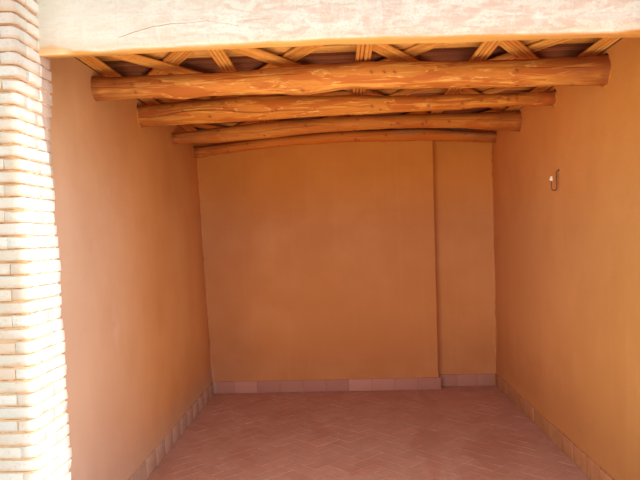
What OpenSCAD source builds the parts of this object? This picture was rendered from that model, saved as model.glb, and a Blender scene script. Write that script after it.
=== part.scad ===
// Open-fronted adobe room: one bay of a courtyard house, from the ground to its parapets.
// Mud brick walls with an earth coat inside, two brick piers, four crooked logs, a ceiling of
// cane bundles and a flat earth roof. The neighbours on both sides start at the plain party faces.
// The origin is the middle of the footprint, on the ground. X runs along the front, Y goes into
// the room and Z is up.

/* [Room] */
// Clear width between the side walls, just under the ceiling
room_w = 3000; // [2600:10:3600]
// Clear depth from the back of the lintel to the proud face of the back wall
room_d = 3360; // [2900:10:4000]
// Height from the floor to the underside of the canes
ceiling_h = 2600; // [2300:10:2900]
// How far the left wall leans into the room at its foot
left_batter = 105; // [0:5:120]
// How far the right wall leans into the room at its foot
right_batter = 10; // [0:5:120]
// Width of the recessed strip of the back wall, beside the right wall
recess_w = 610; // [400:10:1200]
// Depth of that strip behind the rest of the back wall
recess_d = 115; // [60:5:200]

/* [Walls] */
// Thickness of the mud brick walls at their top
wall_t = 350; // [300:10:400]
// Thickness of the earth coat on the inside
plaster_t = 30; // [15:1:50]
// Thickness of the parapets at the sides and back
parapet_t = 250; // [180:10:280]
// Thickness of the parapet above the lintel
front_parapet_t = 200; // [150:10:300]
// Height of the parapets above the roof
parapet_h = 260; // [150:10:500]
// Radius of the worn top edges of the parapets
coping_r = 45; // [10:5:60]

/* [Bricks and floor] */
// Length of a burnt brick
brick_l = 220; // [200:5:240]
// Width of a burnt brick
brick_w = 110; // [100:5:130]
// Thickness of a burnt brick
brick_h = 40; // [30:2:60]
// Width of the open joints in the piers
brick_joint = 17; // [8:1:20]
// Radius of the worn brick corners
brick_round = 20; // [8:1:40]
// Thickness of the bed under the paving
bed_t = 60; // [40:5:150]
// Height of the tile skirting
skirt_h = 120; // [60:5:150]
// Thickness of the tile skirting in front of the earth coat
skirt_t = 18; // [8:1:30]

/* [Front] */
// How much wider each pier is at the floor than at the ceiling
pier_batter = 50; // [0:5:80]
// Thickness of the lintel from front to back
lintel_t = 120; // [100:5:200]
// Height of the lintel from its lower front edge to the canes
lintel_h = 120; // [80:5:240]
// Rise of the soffit from front to back
soffit_rise = 14; // [0:1:30]
// Radius of the worn lower edge of the lintel
lintel_r = 24; // [5:1:40]
// Length of the lintel inside each pier
lintel_bearing = 150; // [80:10:250]
// Depth by which the canes and the roof rest on the lintel
roof_bearing = 60; // [30:5:80]

/* [Logs] */
// Distance from the back of the lintel to the middle of the first log
log_first = 707; // [500:10:900]
// Distance from the middle of the last log to the proud face of the back wall
log_last = 66; // [64:1:150]
// Shift of each log towards the back from even spacing
log_shift = [0, 20, 34, 0]; // [-50:1:50]
// Radius of each log at its left end
log_r_left = [71, 80, 48, 56]; // [40:1:95]
// Radius of each log a quarter of the way along
log_r_quarter = [73, 90, 73, 55]; // [40:1:95]
// Radius of each log at its middle
log_r_mid = [85, 72, 67, 58]; // [40:1:95]
// Radius of each log three quarters of the way along
log_r_late = [79, 56, 65, 60]; // [40:1:95]
// Radius of each log at its right end
log_r_right = [88, 51, 85, 51]; // [40:1:95]
// Depth of the top of each log below the canes at its left end
log_drop_left = [40, 34, 104, 108]; // [0:1:130]
// The same depth a quarter of the way along
log_drop_quarter = [36, 3, 31, 39]; // [0:1:130]
// The same depth at the middle
log_drop_mid = [4, 16, 2, 2]; // [0:1:130]
// The same depth three quarters of the way along
log_drop_late = [20, 38, 4, 4]; // [0:1:130]
// The same depth at the right end
log_drop_right = [22, 33, 12, 56]; // [0:1:130]
// Bend of each log towards the back
log_sway = [22, -26, 18, -4]; // [-30:1:30]
// Length of each log end inside the wall
log_bearing = 220; // [150:10:280]

/* [Canes] */
// Thickness of one cane
cane_d = 24; // [18:1:30]
// Canes in a bundle that runs from front to back
run_canes = 4; // [3:1:6]
// Canes in a diagonal or cross bundle
lattice_canes = 5; // [3:1:7]
// Distance from the side walls to the middle of the outer runs
run_edge = 50; // [50:5:100]
// Shift of the three inner runs from even spacing
run_shift = [10, 107, 78]; // [-120:1:120]
// Distance from the back of the lintel to the first crossing of the diagonals
crossing_first = 860; // [600:10:1100]
// Distance from one row of crossings to the next
crossing_step = 615; // [450:5:800]
// Shift of the cross bundles towards the front from the crossings
cross_shift = 120; // [0:5:200]

/* [Roof] */
// Thickness of the reed mat above the bundles
mat_t = 20; // [14:1:40]
// Width of one reed of the mat
reed_d = 24; // [16:1:30]
// Thickness of the packed earth
earth_t = 150; // [100:10:300]
// Thickness of the mud topping
topping_t = 30; // [15:5:60]
// Width of the mud packed round the cane ends on the walls
rim_t = 60; // [30:5:80]
// Thickness of the log that the rain spout is cut from
spout_d = 130; // [100:5:150]
// Width of the channel in the rain spout
channel_d = 80; // [50:5:90]
// How far the rain spout stands out behind the back wall
spout_reach = 220; // [100:10:400]

/* [Hook] */
// Distance of the hook from the back of the lintel
hook_at = 1500; // [400:5:2200]
// Height of the hook's spike above the floor
hook_h = 1990; // [1500:10:2100]
// Thickness of the bent iron rod
hook_d = 8; // [5:1:12]
// Distance from the wall to the middle of the shank
hook_standoff = 20; // [12:1:40]
// Length of the straight shank
hook_drop = 104; // [60:2:200]
// Radius of the bend at the foot of the hook
hook_bend = 18; // [12:1:40]
// Length of the upturned tip, knob included
hook_tip = 84; // [50:2:120]
// Depth of the spike in the wall
hook_spike = 70; // [40:5:120]
// Thickness of the pale knob on the tip
knob_d = 26; // [16:1:34]
// Length of that knob
knob_l = 36; // [24:1:48]

/* [Hidden] */

// Running clearance round what is let into the walls
clearance = 0.3;
// How far a cutting shape reaches past the face that it opens
overcut = 20;

// Heights, from the ground up
z_floor = bed_t + brick_h;
z_ceiling = z_floor + ceiling_h;
z_lintel = z_ceiling - lintel_h;
z_mat = z_ceiling + 4 * cane_d;
z_earth = z_mat + mat_t;
z_topping = z_earth + earth_t;
z_roof = z_topping + topping_t;
z_top = z_roof + parapet_h;

// Widths, from the middle of the room
half_room = room_w / 2;
half_w = half_room + plaster_t + wall_t;
x_step = half_room - recess_w;
pier_w = 2 * brick_l + brick_joint;
half_roof = half_w - parapet_t;
half_canes = half_roof - rim_t;

// Depths, from the front to the back
pier_d = brick_l + brick_joint + brick_w;
total_d = pier_d + room_d + recess_d + plaster_t + wall_t + spout_reach;
y_front = -total_d / 2;
y_room = y_front + pier_d;
y_lintel = y_room - lintel_t;
y_tongue = y_room - roof_bearing;
y_lining = y_room + room_d;
y_recess = y_lining + recess_d;
y_core = y_recess + plaster_t;
y_back = y_core + wall_t;
y_roof = y_back - parapet_t;
y_canes = y_roof - rim_t;

// Inner face of the mud brick at the left, the right and the piers, at a height
function lean(z) = 1 - (max(z, z_floor) - z_floor) / ceiling_h;
function left_core(z) = -half_room - plaster_t + left_batter * lean(z);
function right_core(z) = half_room + plaster_t - right_batter * lean(z);
function left_face(z) = left_core(z) + plaster_t;
function right_face(z) = right_core(z) - plaster_t;
function pier_face(z) = half_w - pier_w + pier_batter * ((z - z_floor) / ceiling_h - 0.5);

// Points of a quarter round about a centre, from one angle to another
function arc(cx, cy, r, from, to) =
    [for (i = [0:4]) let (a = from + (to - from) * i / 4) [cx + r * cos(a), cy + r * sin(a)]];

// A YZ outline drawn out along X
module along_x(x0, x1) {
    translate([x0, 0, 0]) rotate([90, 0, 90]) linear_extrude(x1 - x0) children();
}

// An XZ outline drawn out along Y
module along_y(y0, y1) {
    translate([0, y1, 0]) rotate([90, 0, 0]) linear_extrude(y1 - y0) children();
}

module upright_box(x0, x1, y0, y1, z0, z1) {
    translate([x0, y0, z0]) cube([x1 - x0, y1 - y0, z1 - z0]);
}

module round_rect(w, d, r) {
    translate([r, 0]) square([w - 2 * r, d]);
    translate([0, r]) square([w, d - 2 * r]);
    for (x = [r, w - r], y = [r, d - r]) translate([x, y]) circle(r, $fn = 48);
}

// Pier: two bricks wide and one and a half deep, its inner half leaning, with a seat cut for
// the lintel
module pier() {
    half = pier_w / 2;
    inner_w = half + pier_batter + 3 * brick_round;
    foot = 2 * overcut;
    difference() {
        union() {
            translate([-half_w, y_front, 0]) linear_extrude(z_top) round_rect(half, pier_d, brick_round);
            intersection() {
                upright_box(-half_w, 0, y_front - overcut, y_room + overcut, 0, z_top);
                translate([-pier_face(0), y_front, 0])
                    rotate([0, -atan(pier_batter / ceiling_h), 0])
                    translate([-inner_w, 0, -foot])
                    linear_extrude(z_top + 2 * foot) round_rect(inner_w, pier_d, brick_round);
            }
        }
        along_x(-half_w + pier_w - lintel_bearing, 0) lintel_outline();
    }
}

module lintel_outline() {
    rear = z_lintel + soffit_rise;
    polygon(concat(
        arc(y_lintel + lintel_r, z_lintel + lintel_r, lintel_r, 180, 270),
        [[y_room, rear], [y_room, z_ceiling], [y_lintel, z_ceiling]]));
}

module left_pier() {
    color("bisque") pier();
}

module right_pier() {
    color("bisque") mirror([1, 0, 0]) pier();
}

module front_lintel() {
    reach = half_w - pier_w + lintel_bearing;
    color("antiquewhite") along_x(-reach, reach) lintel_outline();
}

// Parapet above the lintel: its foot stands on the lintel and its back part on the roof
module front_parapet() {
    y_inner = y_lintel + front_parapet_t;
    color("antiquewhite") intersection() {
        along_x(-half_w, half_w) polygon(concat(
            [[y_lintel, z_ceiling], [y_tongue, z_ceiling], [y_tongue, z_roof], [y_inner, z_roof]],
            arc(y_inner - coping_r, z_top - coping_r, coping_r, 0, 90),
            arc(y_lintel + coping_r, z_top - coping_r, coping_r, 90, 180)));
        along_y(y_lintel - overcut, y_inner + overcut) polygon([
            [-pier_face(z_ceiling), z_ceiling], [pier_face(z_ceiling), z_ceiling],
            [pier_face(z_top), z_top], [-pier_face(z_top), z_top]]);
    }
}

// Side walls of mud brick, with pockets for the log ends
module left_wall() {
    color("peru") difference() {
        along_y(y_room, y_back) polygon([
            [-half_w, 0], [left_core(0), 0], [left_core(z_floor), z_floor],
            [left_core(z_ceiling), z_ceiling], [-half_w, z_ceiling]]);
        log_pockets();
    }
}

module right_wall() {
    color("peru") difference() {
        along_y(y_room, y_back) polygon([
            [half_w, 0], [right_core(0), 0], [right_core(z_floor), z_floor],
            [right_core(z_ceiling), z_ceiling], [half_w, z_ceiling]]);
        log_pockets();
        hook_hole();
    }
}

module back_wall() {
    color("peru") along_y(y_core, y_back) polygon([
        [left_core(0), 0], [right_core(0), 0], [right_core(z_floor), z_floor],
        [right_core(z_ceiling), z_ceiling], [left_core(z_ceiling), z_ceiling],
        [left_core(z_floor), z_floor]]);
}

module back_wall_lining() {
    x1 = x_step - plaster_t;
    color("peru") along_y(y_lining + plaster_t, y_core) polygon([
        [left_core(0), 0], [x1, 0], [x1, z_ceiling], [left_core(z_ceiling), z_ceiling],
        [left_core(z_floor), z_floor]]);
}

// Earth coat, from the paving to the canes
module left_plaster() {
    color("sandybrown") difference() {
        along_y(y_room, y_lining + plaster_t) polygon([
            [left_core(z_floor), z_floor], [left_face(z_floor), z_floor],
            [left_face(z_ceiling), z_ceiling], [left_core(z_ceiling), z_ceiling]]);
        log_pockets();
    }
}

module right_plaster() {
    color("sandybrown") difference() {
        along_y(y_room, y_core) polygon([
            [right_core(z_floor), z_floor], [right_face(z_floor), z_floor],
            [right_face(z_ceiling), z_ceiling], [right_core(z_ceiling), z_ceiling]]);
        log_pockets();
        hook_hole();
    }
}

module lining_plaster() {
    color("sandybrown") {
        along_y(y_lining, y_lining + plaster_t) polygon([
            [left_face(z_floor), z_floor], [x_step, z_floor],
            [x_step, z_ceiling], [left_face(z_ceiling), z_ceiling]]);
        upright_box(x_step - plaster_t, x_step, y_lining, y_core, z_floor, z_ceiling);
    }
}

module recess_plaster() {
    color("sandybrown") along_y(y_recess, y_core) polygon([
        [x_step, z_floor], [right_face(z_floor), z_floor],
        [right_face(z_ceiling), z_ceiling], [x_step, z_ceiling]]);
}

// Side parapet, square at the party face, with a foot packed round the cane ends
module side_parapet() {
    x1 = -half_roof;
    along_y(y_room, y_back) polygon(concat(
        [[-half_w, z_ceiling], [-half_canes, z_ceiling], [-half_canes, z_earth], [x1, z_earth]],
        arc(x1 - coping_r, z_top - coping_r, coping_r, 0, 90),
        [[-half_w, z_top]]));
}

module left_parapet() {
    color("burlywood") side_parapet();
}

module right_parapet() {
    color("burlywood") mirror([1, 0, 0]) side_parapet();
}

module back_parapet() {
    color("burlywood") difference() {
        union() {
            along_x(-half_roof, half_roof) polygon(concat(
                [[y_roof, z_ceiling], [y_back, z_ceiling]],
                arc(y_back - coping_r, z_top - coping_r, coping_r, 0, 90),
                arc(y_roof + coping_r, z_top - coping_r, coping_r, 90, 180)));
            upright_box(-half_canes, half_canes, y_canes, y_roof + overcut, z_ceiling, z_earth);
        }
        spout_log(spout_d + 2 * clearance, y_roof - overcut, y_back + overcut);
    }
}

// Crooked logs. Each one is swept along its own bent line just under the canes. Its radius and
// the depth of its top run smoothly through five places, and it is straight and round in the walls.
log_sides = 16;
log_rings = 22;
log_straight = 25;
log_flat = 0.06;

log_radii = [log_r_left, log_r_quarter, log_r_mid, log_r_late, log_r_right];
log_drops = [log_drop_left, log_drop_quarter, log_drop_mid, log_drop_late, log_drop_right];

// Value of log i at u from 0 to 1 along it, on a smooth line through its five given values
function log_at(values, i, u) =
    let (n = min(3, floor(4 * u)), t = 4 * u - n, b = values[n][i], c = values[n + 1][i])
    let (slope_b = n > 0 ? (c - values[n - 1][i]) / 2 : c - b)
    let (slope_c = n < 3 ? (values[n + 2][i] - b) / 2 : c - b)
    b + t * slope_b + t * t * (3 * (c - b) - 2 * slope_b - slope_c)
    + t * t * t * (2 * (b - c) + slope_b + slope_c);
function log_y(i) =
    y_room + log_first + log_shift[i] + i * (room_d - log_first - log_last) / 3;
function log_x(u) = (half_room - log_straight) * (2 * u - 1);
function log_r(i, u) = log_at(log_radii, i, u);
function log_top(i, u) = z_ceiling - clearance - max(0, log_at(log_drops, i, u));
function log_bend(i, u) = log_sway[i] * (sin(180 * u) + 0.35 * sin(540 * u));
function log_shape(i, u, a) =
    1 - log_flat * min(1, 6 * u, 6 * (1 - u)) * (1 - cos(2 * a + 90 * i + 200 * u)) / 2;
function log_ring(i, u, x) =
    let (r = log_r(i, u), z = log_top(i, u) - r * log_shape(i, u, 90))
    [for (k = [0:log_sides - 1]) let (a = 360 * k / log_sides, s = r * log_shape(i, u, a))
        [x, log_y(i) + log_bend(i, u) + s * cos(a), z + s * sin(a)]];

module log_sweep(i) {
    reach = half_room + log_bearing;
    inner = [for (n = [0:log_rings]) let (u = n / log_rings) log_ring(i, u, log_x(u))];
    rings = concat([log_ring(i, 0, -reach)], inner, [log_ring(i, 1, reach)]);
    last = len(rings) - 1;
    sides = [for (n = [0:last - 1], k = [0:log_sides - 1])
        let (a = n * log_sides + k, b = n * log_sides + (k + 1) % log_sides)
        each [[a, b, b + log_sides], [a, b + log_sides, a + log_sides]]];
    ends = [[for (k = [log_sides - 1:-1:0]) k], [for (k = [0:log_sides - 1]) last * log_sides + k]];
    polyhedron([for (ring = rings) each ring], concat(sides, ends), convexity = 4);
}

module log_pockets() {
    depth = log_bearing + clearance;
    for (i = [0:3]) {
        translate([-half_room - depth, log_y(i), log_top(i, 0) - log_r_left[i]])
            rotate([0, 90, 0]) cylinder(r = log_r_left[i] + clearance, h = depth + overcut);
        translate([half_room - overcut, log_y(i), log_top(i, 1) - log_r_right[i]])
            rotate([0, 90, 0]) cylinder(r = log_r_right[i] + clearance, h = depth + overcut);
    }
}

module beam_1() {
    color("chocolate") log_sweep(0);
}

module beam_2() {
    color("chocolate") log_sweep(1);
}

module beam_3() {
    color("chocolate") log_sweep(2);
}

module beam_4() {
    color("chocolate") log_sweep(3);
}

// Canes. A bundle is a flat row of eight-sided canes that touch; four layers of bundles lie on
// each other, and all end in the mud on the walls.
run_step = (room_w - 2 * run_edge) / 4;
cane_slope = run_step / 2 / crossing_step;
y_cross = y_room + crossing_first;

function run_x(k) = -half_room + run_edge + k * run_step + (k > 0 && k < 4 ? run_shift[k - 1] : 0);

// Outline of a row of canes, with its lower flats at zero
function row_edge(n, d) =
    let (flat = d * tan(22.5) / 2)
    [for (k = [0:n - 1]) let (x = (k - (n - 1) / 2) * d)
        each [[x - d / 2, d / 2 - flat], [x - flat, 0], [x + flat, 0]]];

module cane_row(n, length) {
    lower = concat(row_edge(n, cane_d), [[n * cane_d / 2, cane_d / 2 - cane_d * tan(22.5) / 2]]);
    upper = [for (k = [len(lower) - 1:-1:0]) [lower[k][0], cane_d - lower[k][1]]];
    along_y(-length / 2, length / 2) polygon(concat(lower, upper));
}

module cane_area() {
    x_tongue = pier_face(z_ceiling);
    polygon([[-half_canes, y_room], [-x_tongue, y_room], [-x_tongue, y_tongue],
        [x_tongue, y_tongue], [x_tongue, y_room], [half_canes, y_room],
        [half_canes, y_canes], [-half_canes, y_canes]]);
}

module cane_layer(level) {
    translate([0, 0, z_ceiling + level * cane_d]) intersection() {
        children();
        linear_extrude(cane_d) cane_area();
    }
}

module cane_runs() {
    color("goldenrod") cane_layer(0)
        for (k = [0:4]) translate([run_x(k), 0, 0]) cane_row(run_canes, 2 * total_d);
}

module cane_diagonals(side) {
    first = -half_room + run_edge + run_step / 2;
    low = ceil((-half_canes - (y_canes - y_cross) * cane_slope - first) / run_step);
    high = floor((half_canes + (y_cross - y_tongue) * cane_slope - first) / run_step);
    for (m = [low:high])
        translate([side * (first + m * run_step), y_cross, 0])
        rotate([0, 0, -side * atan(cane_slope)])
        cane_row(lattice_canes, 3 * total_d);
}

module cane_diagonals_right() {
    color("orange") cane_layer(1) cane_diagonals(1);
}

module cane_diagonals_left() {
    color("darkorange") cane_layer(2) cane_diagonals(-1);
}

module cane_crosses() {
    first = y_cross - cross_shift;
    low = ceil((y_tongue - first) / crossing_step);
    high = floor((y_canes - first) / crossing_step);
    color("goldenrod") cane_layer(3) for (m = [low:high])
        translate([0, first + m * crossing_step, 0])
        rotate([0, 0, 90]) cane_row(lattice_canes, 2 * half_w);
}

// Reed mat: reeds side by side along X, flat on top under the earth
module reed_sheet(x1, y0, y1) {
    count = floor((y1 - y0) / reed_d);
    pitch = (y1 - y0) / count;
    flat = pitch * tan(22.5) / 2;
    lower = [for (k = [0:count - 1]) let (y = y0 + (k + 0.5) * pitch)
        each [[y - pitch / 2, pitch / 2 - flat], [y - flat, 0], [y + flat, 0]]];
    along_x(-x1, x1) translate([0, z_mat])
        polygon(concat(lower, [[y1, pitch / 2 - flat], [y1, mat_t], [y0, mat_t]]));
}

module reed_mat() {
    color("saddlebrown") {
        reed_sheet(half_canes, y_room, y_canes);
        reed_sheet(pier_face(z_ceiling), y_tongue, y_room);
    }
}

// Roof of packed earth with a mud topping; a tongue of both rests on the lintel
module roof_area() {
    x_tongue = pier_face(z_ceiling);
    polygon([[-half_roof, y_room], [-x_tongue, y_room], [-x_tongue, y_tongue],
        [x_tongue, y_tongue], [x_tongue, y_room], [half_roof, y_room],
        [half_roof, y_roof], [-half_roof, y_roof]]);
}

module roof_earth() {
    color("rosybrown") translate([0, 0, z_earth]) linear_extrude(earth_t) roof_area();
}

module roof_topping() {
    color("tan") translate([0, 0, z_topping]) linear_extrude(topping_t) roof_area();
}

// Rain spout: half a log, hollowed, through the back parapet at the height of the roof
module spout_log(d, y0, y1) {
    translate([0, y1, z_roof + channel_d / 2]) rotate([90, 0, 0]) cylinder(d = d, h = y1 - y0, $fn = 64);
}

module rain_spout() {
    z_mid = z_roof + channel_d / 2;
    y_end = y_back + spout_reach;
    color("sienna") difference() {
        spout_log(spout_d, y_roof, y_end);
        spout_log(channel_d, y_roof - overcut, y_end + overcut);
        upright_box(-spout_d, spout_d, y_roof - overcut, y_end + overcut, z_mid, z_mid + spout_d);
    }
}

// Floor: a bed, brick paving and a threshold of bricks on edge between the piers
module floor_area() {
    x_pier = pier_face(0);
    y0 = y_front + brick_l;
    y1 = y_lining + plaster_t;
    x1 = x_step - plaster_t;
    polygon([[-x_pier, y0], [x_pier, y0], [x_pier, y_room], [right_core(0), y_room],
        [right_core(0), y_core], [x1, y_core], [x1, y1], [left_core(0), y1],
        [left_core(0), y_room], [-x_pier, y_room]]);
}

module floor_bed() {
    color("dimgray") linear_extrude(bed_t) floor_area();
}

module floor_paving() {
    color("indianred") translate([0, 0, bed_t]) linear_extrude(brick_h) floor_area();
}

module threshold() {
    x_pier = pier_face(0);
    color("indianred") upright_box(-x_pier, x_pier, y_front, y_front + brick_l, 0, z_floor);
}

// Tile skirting, in front of the earth coat
module left_skirting() {
    z1 = z_floor + skirt_h;
    color("rosybrown") along_y(y_room, y_lining - skirt_t) polygon([
        [left_face(z_floor), z_floor], [left_face(z_floor) + skirt_t, z_floor],
        [left_face(z1) + skirt_t, z1], [left_face(z1), z1]]);
}

module right_skirting() {
    z1 = z_floor + skirt_h;
    color("rosybrown") along_y(y_room, y_recess - skirt_t) polygon([
        [right_face(z_floor), z_floor], [right_face(z_floor) - skirt_t, z_floor],
        [right_face(z1) - skirt_t, z1], [right_face(z1), z1]]);
}

module back_skirting() {
    z1 = z_floor + skirt_h;
    x1 = x_step + skirt_t;
    color("rosybrown") along_y(y_lining - skirt_t, y_lining) polygon([
        [left_face(z_floor), z_floor], [x1, z_floor], [x1, z1], [left_face(z1), z1]]);
}

module step_skirting() {
    color("rosybrown") upright_box(x_step, x_step + skirt_t, y_lining, y_recess - skirt_t,
        z_floor, z_floor + skirt_h);
}

module recess_skirting() {
    z1 = z_floor + skirt_h;
    color("rosybrown") along_y(y_recess - skirt_t, y_recess) polygon([
        [x_step, z_floor], [right_face(z_floor), z_floor], [right_face(z1), z1], [x_step, z1]]);
}

// Hook of bent iron rod, driven into the right wall
z_hook = z_floor + hook_h;
y_hook = y_room + hook_at;

module hook_hole() {
    x1 = right_face(z_hook) + hook_spike + clearance;
    translate([right_face(z_hook) - overcut, y_hook, z_hook])
        rotate([0, 90, 0]) cylinder(d = hook_d + 2 * clearance, h = x1 - right_face(z_hook) + overcut);
}

module rod_bend(r, from, to) {
    rotate([90, 0, 0]) rotate([0, 0, from])
        rotate_extrude(angle = to - from) translate([r, 0]) circle(d = hook_d, $fn = 24);
}

x_shank = right_face(z_hook) - hook_standoff;
z_shank = z_hook - hook_standoff;
z_foot = z_shank - hook_drop;
x_tip = x_shank - 2 * hook_bend;
z_knob = z_foot + hook_tip - knob_l;

module wall_hook() {
    color("dimgray") {
        translate([right_face(z_hook), y_hook, z_hook])
            rotate([0, 90, 0]) cylinder(d = hook_d, h = hook_spike, $fn = 24);
        translate([right_face(z_hook), y_hook, z_shank]) rod_bend(hook_standoff, 90, 180);
        translate([x_shank, y_hook, z_foot]) cylinder(d = hook_d, h = hook_drop, $fn = 24);
        translate([x_shank - hook_bend, y_hook, z_foot]) rod_bend(hook_bend, 180, 360);
        translate([x_tip, y_hook, z_foot])
            cylinder(d = hook_d, h = hook_tip - knob_l / 2, $fn = 24);
    }
}

// Egg-shaped knob pushed over the tip
module hook_knob() {
    r = knob_d / 2;
    color("wheat") translate([x_tip, y_hook, z_knob]) difference() {
        union() {
            translate([0, 0, r]) sphere(r, $fn = 48);
            translate([0, 0, r]) cylinder(r1 = r, r2 = r * 0.7, h = knob_l - 1.7 * r, $fn = 48);
            translate([0, 0, knob_l - 0.7 * r]) sphere(r * 0.7, $fn = 48);
        }
        translate([0, 0, -r]) cylinder(d = hook_d + 2 * clearance, h = r + knob_l / 2 + clearance);
    }
}

left_pier();
right_pier();
left_wall();
right_wall();
back_wall();
back_wall_lining();
left_plaster();
right_plaster();
lining_plaster();
recess_plaster();
front_lintel();
front_parapet();
left_parapet();
right_parapet();
back_parapet();
beam_1();
beam_2();
beam_3();
beam_4();
cane_runs();
cane_diagonals_right();
cane_diagonals_left();
cane_crosses();
reed_mat();
roof_earth();
roof_topping();
rain_spout();
floor_bed();
floor_paving();
threshold();
left_skirting();
right_skirting();
back_skirting();
step_skirting();
recess_skirting();
wall_hook();
hook_knob();
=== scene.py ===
# %% [markdown]
# An adobe room that is open at the front: mud walls with a smooth earth coat, brick piers at the
# sides, four crooked logs under a ceiling of cane bundles, and a herringbone brick floor.
# The construction comes in as a fixed frame, at its real size. This lesson dresses it: each
# step says what a piece is on the real building, how it could be made, and why this way.

# %% Load the frame
import math
import random

import bmesh
import bpy
from mathutils import Matrix, Vector, noise


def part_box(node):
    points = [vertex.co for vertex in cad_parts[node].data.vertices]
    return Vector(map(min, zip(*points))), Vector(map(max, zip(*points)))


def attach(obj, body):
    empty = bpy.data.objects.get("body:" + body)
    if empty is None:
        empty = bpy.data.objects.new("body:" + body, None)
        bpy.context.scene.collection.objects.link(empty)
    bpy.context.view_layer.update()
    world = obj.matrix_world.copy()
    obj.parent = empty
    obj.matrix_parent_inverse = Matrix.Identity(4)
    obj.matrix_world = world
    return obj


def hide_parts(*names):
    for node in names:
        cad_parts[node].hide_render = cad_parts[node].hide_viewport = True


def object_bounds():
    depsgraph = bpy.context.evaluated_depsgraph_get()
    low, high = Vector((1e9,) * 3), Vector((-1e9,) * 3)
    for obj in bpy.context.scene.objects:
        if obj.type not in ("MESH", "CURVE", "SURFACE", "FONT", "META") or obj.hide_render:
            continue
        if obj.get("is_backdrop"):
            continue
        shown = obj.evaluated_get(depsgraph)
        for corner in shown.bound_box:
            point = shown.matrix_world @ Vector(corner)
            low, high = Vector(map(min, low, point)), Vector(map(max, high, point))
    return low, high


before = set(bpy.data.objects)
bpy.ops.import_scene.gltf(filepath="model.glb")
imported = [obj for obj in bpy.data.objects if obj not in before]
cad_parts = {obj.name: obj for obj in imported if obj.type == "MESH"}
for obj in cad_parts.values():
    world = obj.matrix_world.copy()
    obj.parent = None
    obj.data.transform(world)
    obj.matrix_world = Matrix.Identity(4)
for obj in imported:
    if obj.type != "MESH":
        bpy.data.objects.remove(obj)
cad_low, cad_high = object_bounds()
scene = bpy.context.scene
print(f"frame: {len(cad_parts)} nodes, {cad_high.x - cad_low.x:.2f} m wide")

# %% [markdown]
# Every place in the lesson is worked out from the frame, so a new piece lands where the
# construction has it. The side walls lean into the room at their feet, so their faces are
# functions of the height.

# %% Places in the room
floor_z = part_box("floor_paving")[1].z
ceiling_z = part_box("cane_runs")[0].z
skirting_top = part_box("back_skirting")[1].z
room_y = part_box("left_wall")[0].y
lining_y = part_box("lining_plaster")[0].y
recess_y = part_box("recess_plaster")[0].y
step_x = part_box("lining_plaster")[1].x
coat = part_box("recess_plaster")[1].y - recess_y
left_foot, left_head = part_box("left_plaster")[1].x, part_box("left_plaster")[0].x + coat
right_foot, right_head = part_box("right_plaster")[0].x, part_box("right_plaster")[1].x - coat


def left_face(z):
    """X of the left wall's earth coat at a height."""
    return left_foot + (left_head - left_foot) * (z - floor_z) / (ceiling_z - floor_z)


def right_face(z):
    """X of the right wall's earth coat at a height."""
    return right_foot + (right_head - right_foot) * (z - floor_z) / (ceiling_z - floor_z)


print(f"room: {right_head - left_head:.3f} m wide, {lining_y - room_y:.3f} m deep")

# %% [markdown]
# The camera stands in the courtyard at eye height and looks a little to the left. It could be
# pointed with a Track To constraint. Three plain turns are used, because the photograph is
# also tipped a little to one side, and a constraint would take that out.

# %% Camera
camera_data = bpy.data.cameras.new("camera")
camera_data.lens, camera_data.sensor_width = 36, 36
camera_data.clip_end = 60
camera = bpy.data.objects.new("camera", camera_data)
scene.collection.objects.link(camera)
scene.camera = camera
eye_height, from_opening = 1.587, 3.072
camera_place = Vector((-0.054, room_y - from_opening, floor_z + eye_height))
turned_left, tipped_down, leaning = math.radians(1.867), math.radians(0.545), -0.0277
camera.matrix_world = (
    Matrix.Translation(camera_place)
    @ Matrix.Rotation(turned_left, 4, "Z")
    @ Matrix.Rotation(math.pi / 2 - tipped_down, 4, "X")
    @ Matrix.Rotation(leaning, 4, "Z")
)
print(f"camera: {eye_height:.2f} m above the floor")

# %% [markdown]
# Soft studio light, all of it neutral white, so the warm glow inside comes from the walls
# themselves. Two large panels stand in the yard and an even world fills the rest. That is right
# for the outside, but a room that is open at one side only would stay dark, so a third panel, as
# large as the opening, stands in it and faces in. A lamp shines from one side and can't be seen
# from the other, so it doesn't hide the room. It stands just before the piers, so that their
# inner faces are lit right from the corner.

# %% Light
def soft_panel(name, place, aim, width, height, watts):
    """An area lamp that faces a point."""
    data = bpy.data.lights.new(name, "AREA")
    data.shape, data.size, data.size_y, data.energy = "RECTANGLE", width, height, watts
    lamp = bpy.data.objects.new(name, data)
    scene.collection.objects.link(lamp)
    facing = (Vector(aim) - Vector(place)).to_track_quat("-Z", "Y").to_matrix().to_4x4()
    lamp.matrix_world = Matrix.Translation(place) @ facing


soft_panel("key_panel", (5.8, -9.8, 3.8), (-0.3, 0, 1.2), 4.0, 3.4, 260)
soft_panel("fill_panel", (-4.0, -9.5, 3.0), (0.6, 0, 1.4), 4.0, 3.4, 155)
soft_panel("opening_panel", (0, cad_low.y - 0.02, 1.26), (0, 0, 1.26), 2.79, 2.20, 52)

world = bpy.data.worlds.new("studio")
scene.world = world
world.use_nodes = True
backdrop = world.node_tree.nodes["Background"].inputs
backdrop["Color"].default_value, backdrop["Strength"].default_value = (1, 1, 1, 1), 0.6

scene.view_settings.view_transform = "Standard"
print("light: three panels and an even world")

# %% [markdown]
# The yard is left out, and a plain pale floor stands for it. A plane with a shadow catcher would
# hide it, but then the building would seem to hang. One large face is enough, and it is named as
# stage, so that it isn't taken for a piece of the building.

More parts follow.
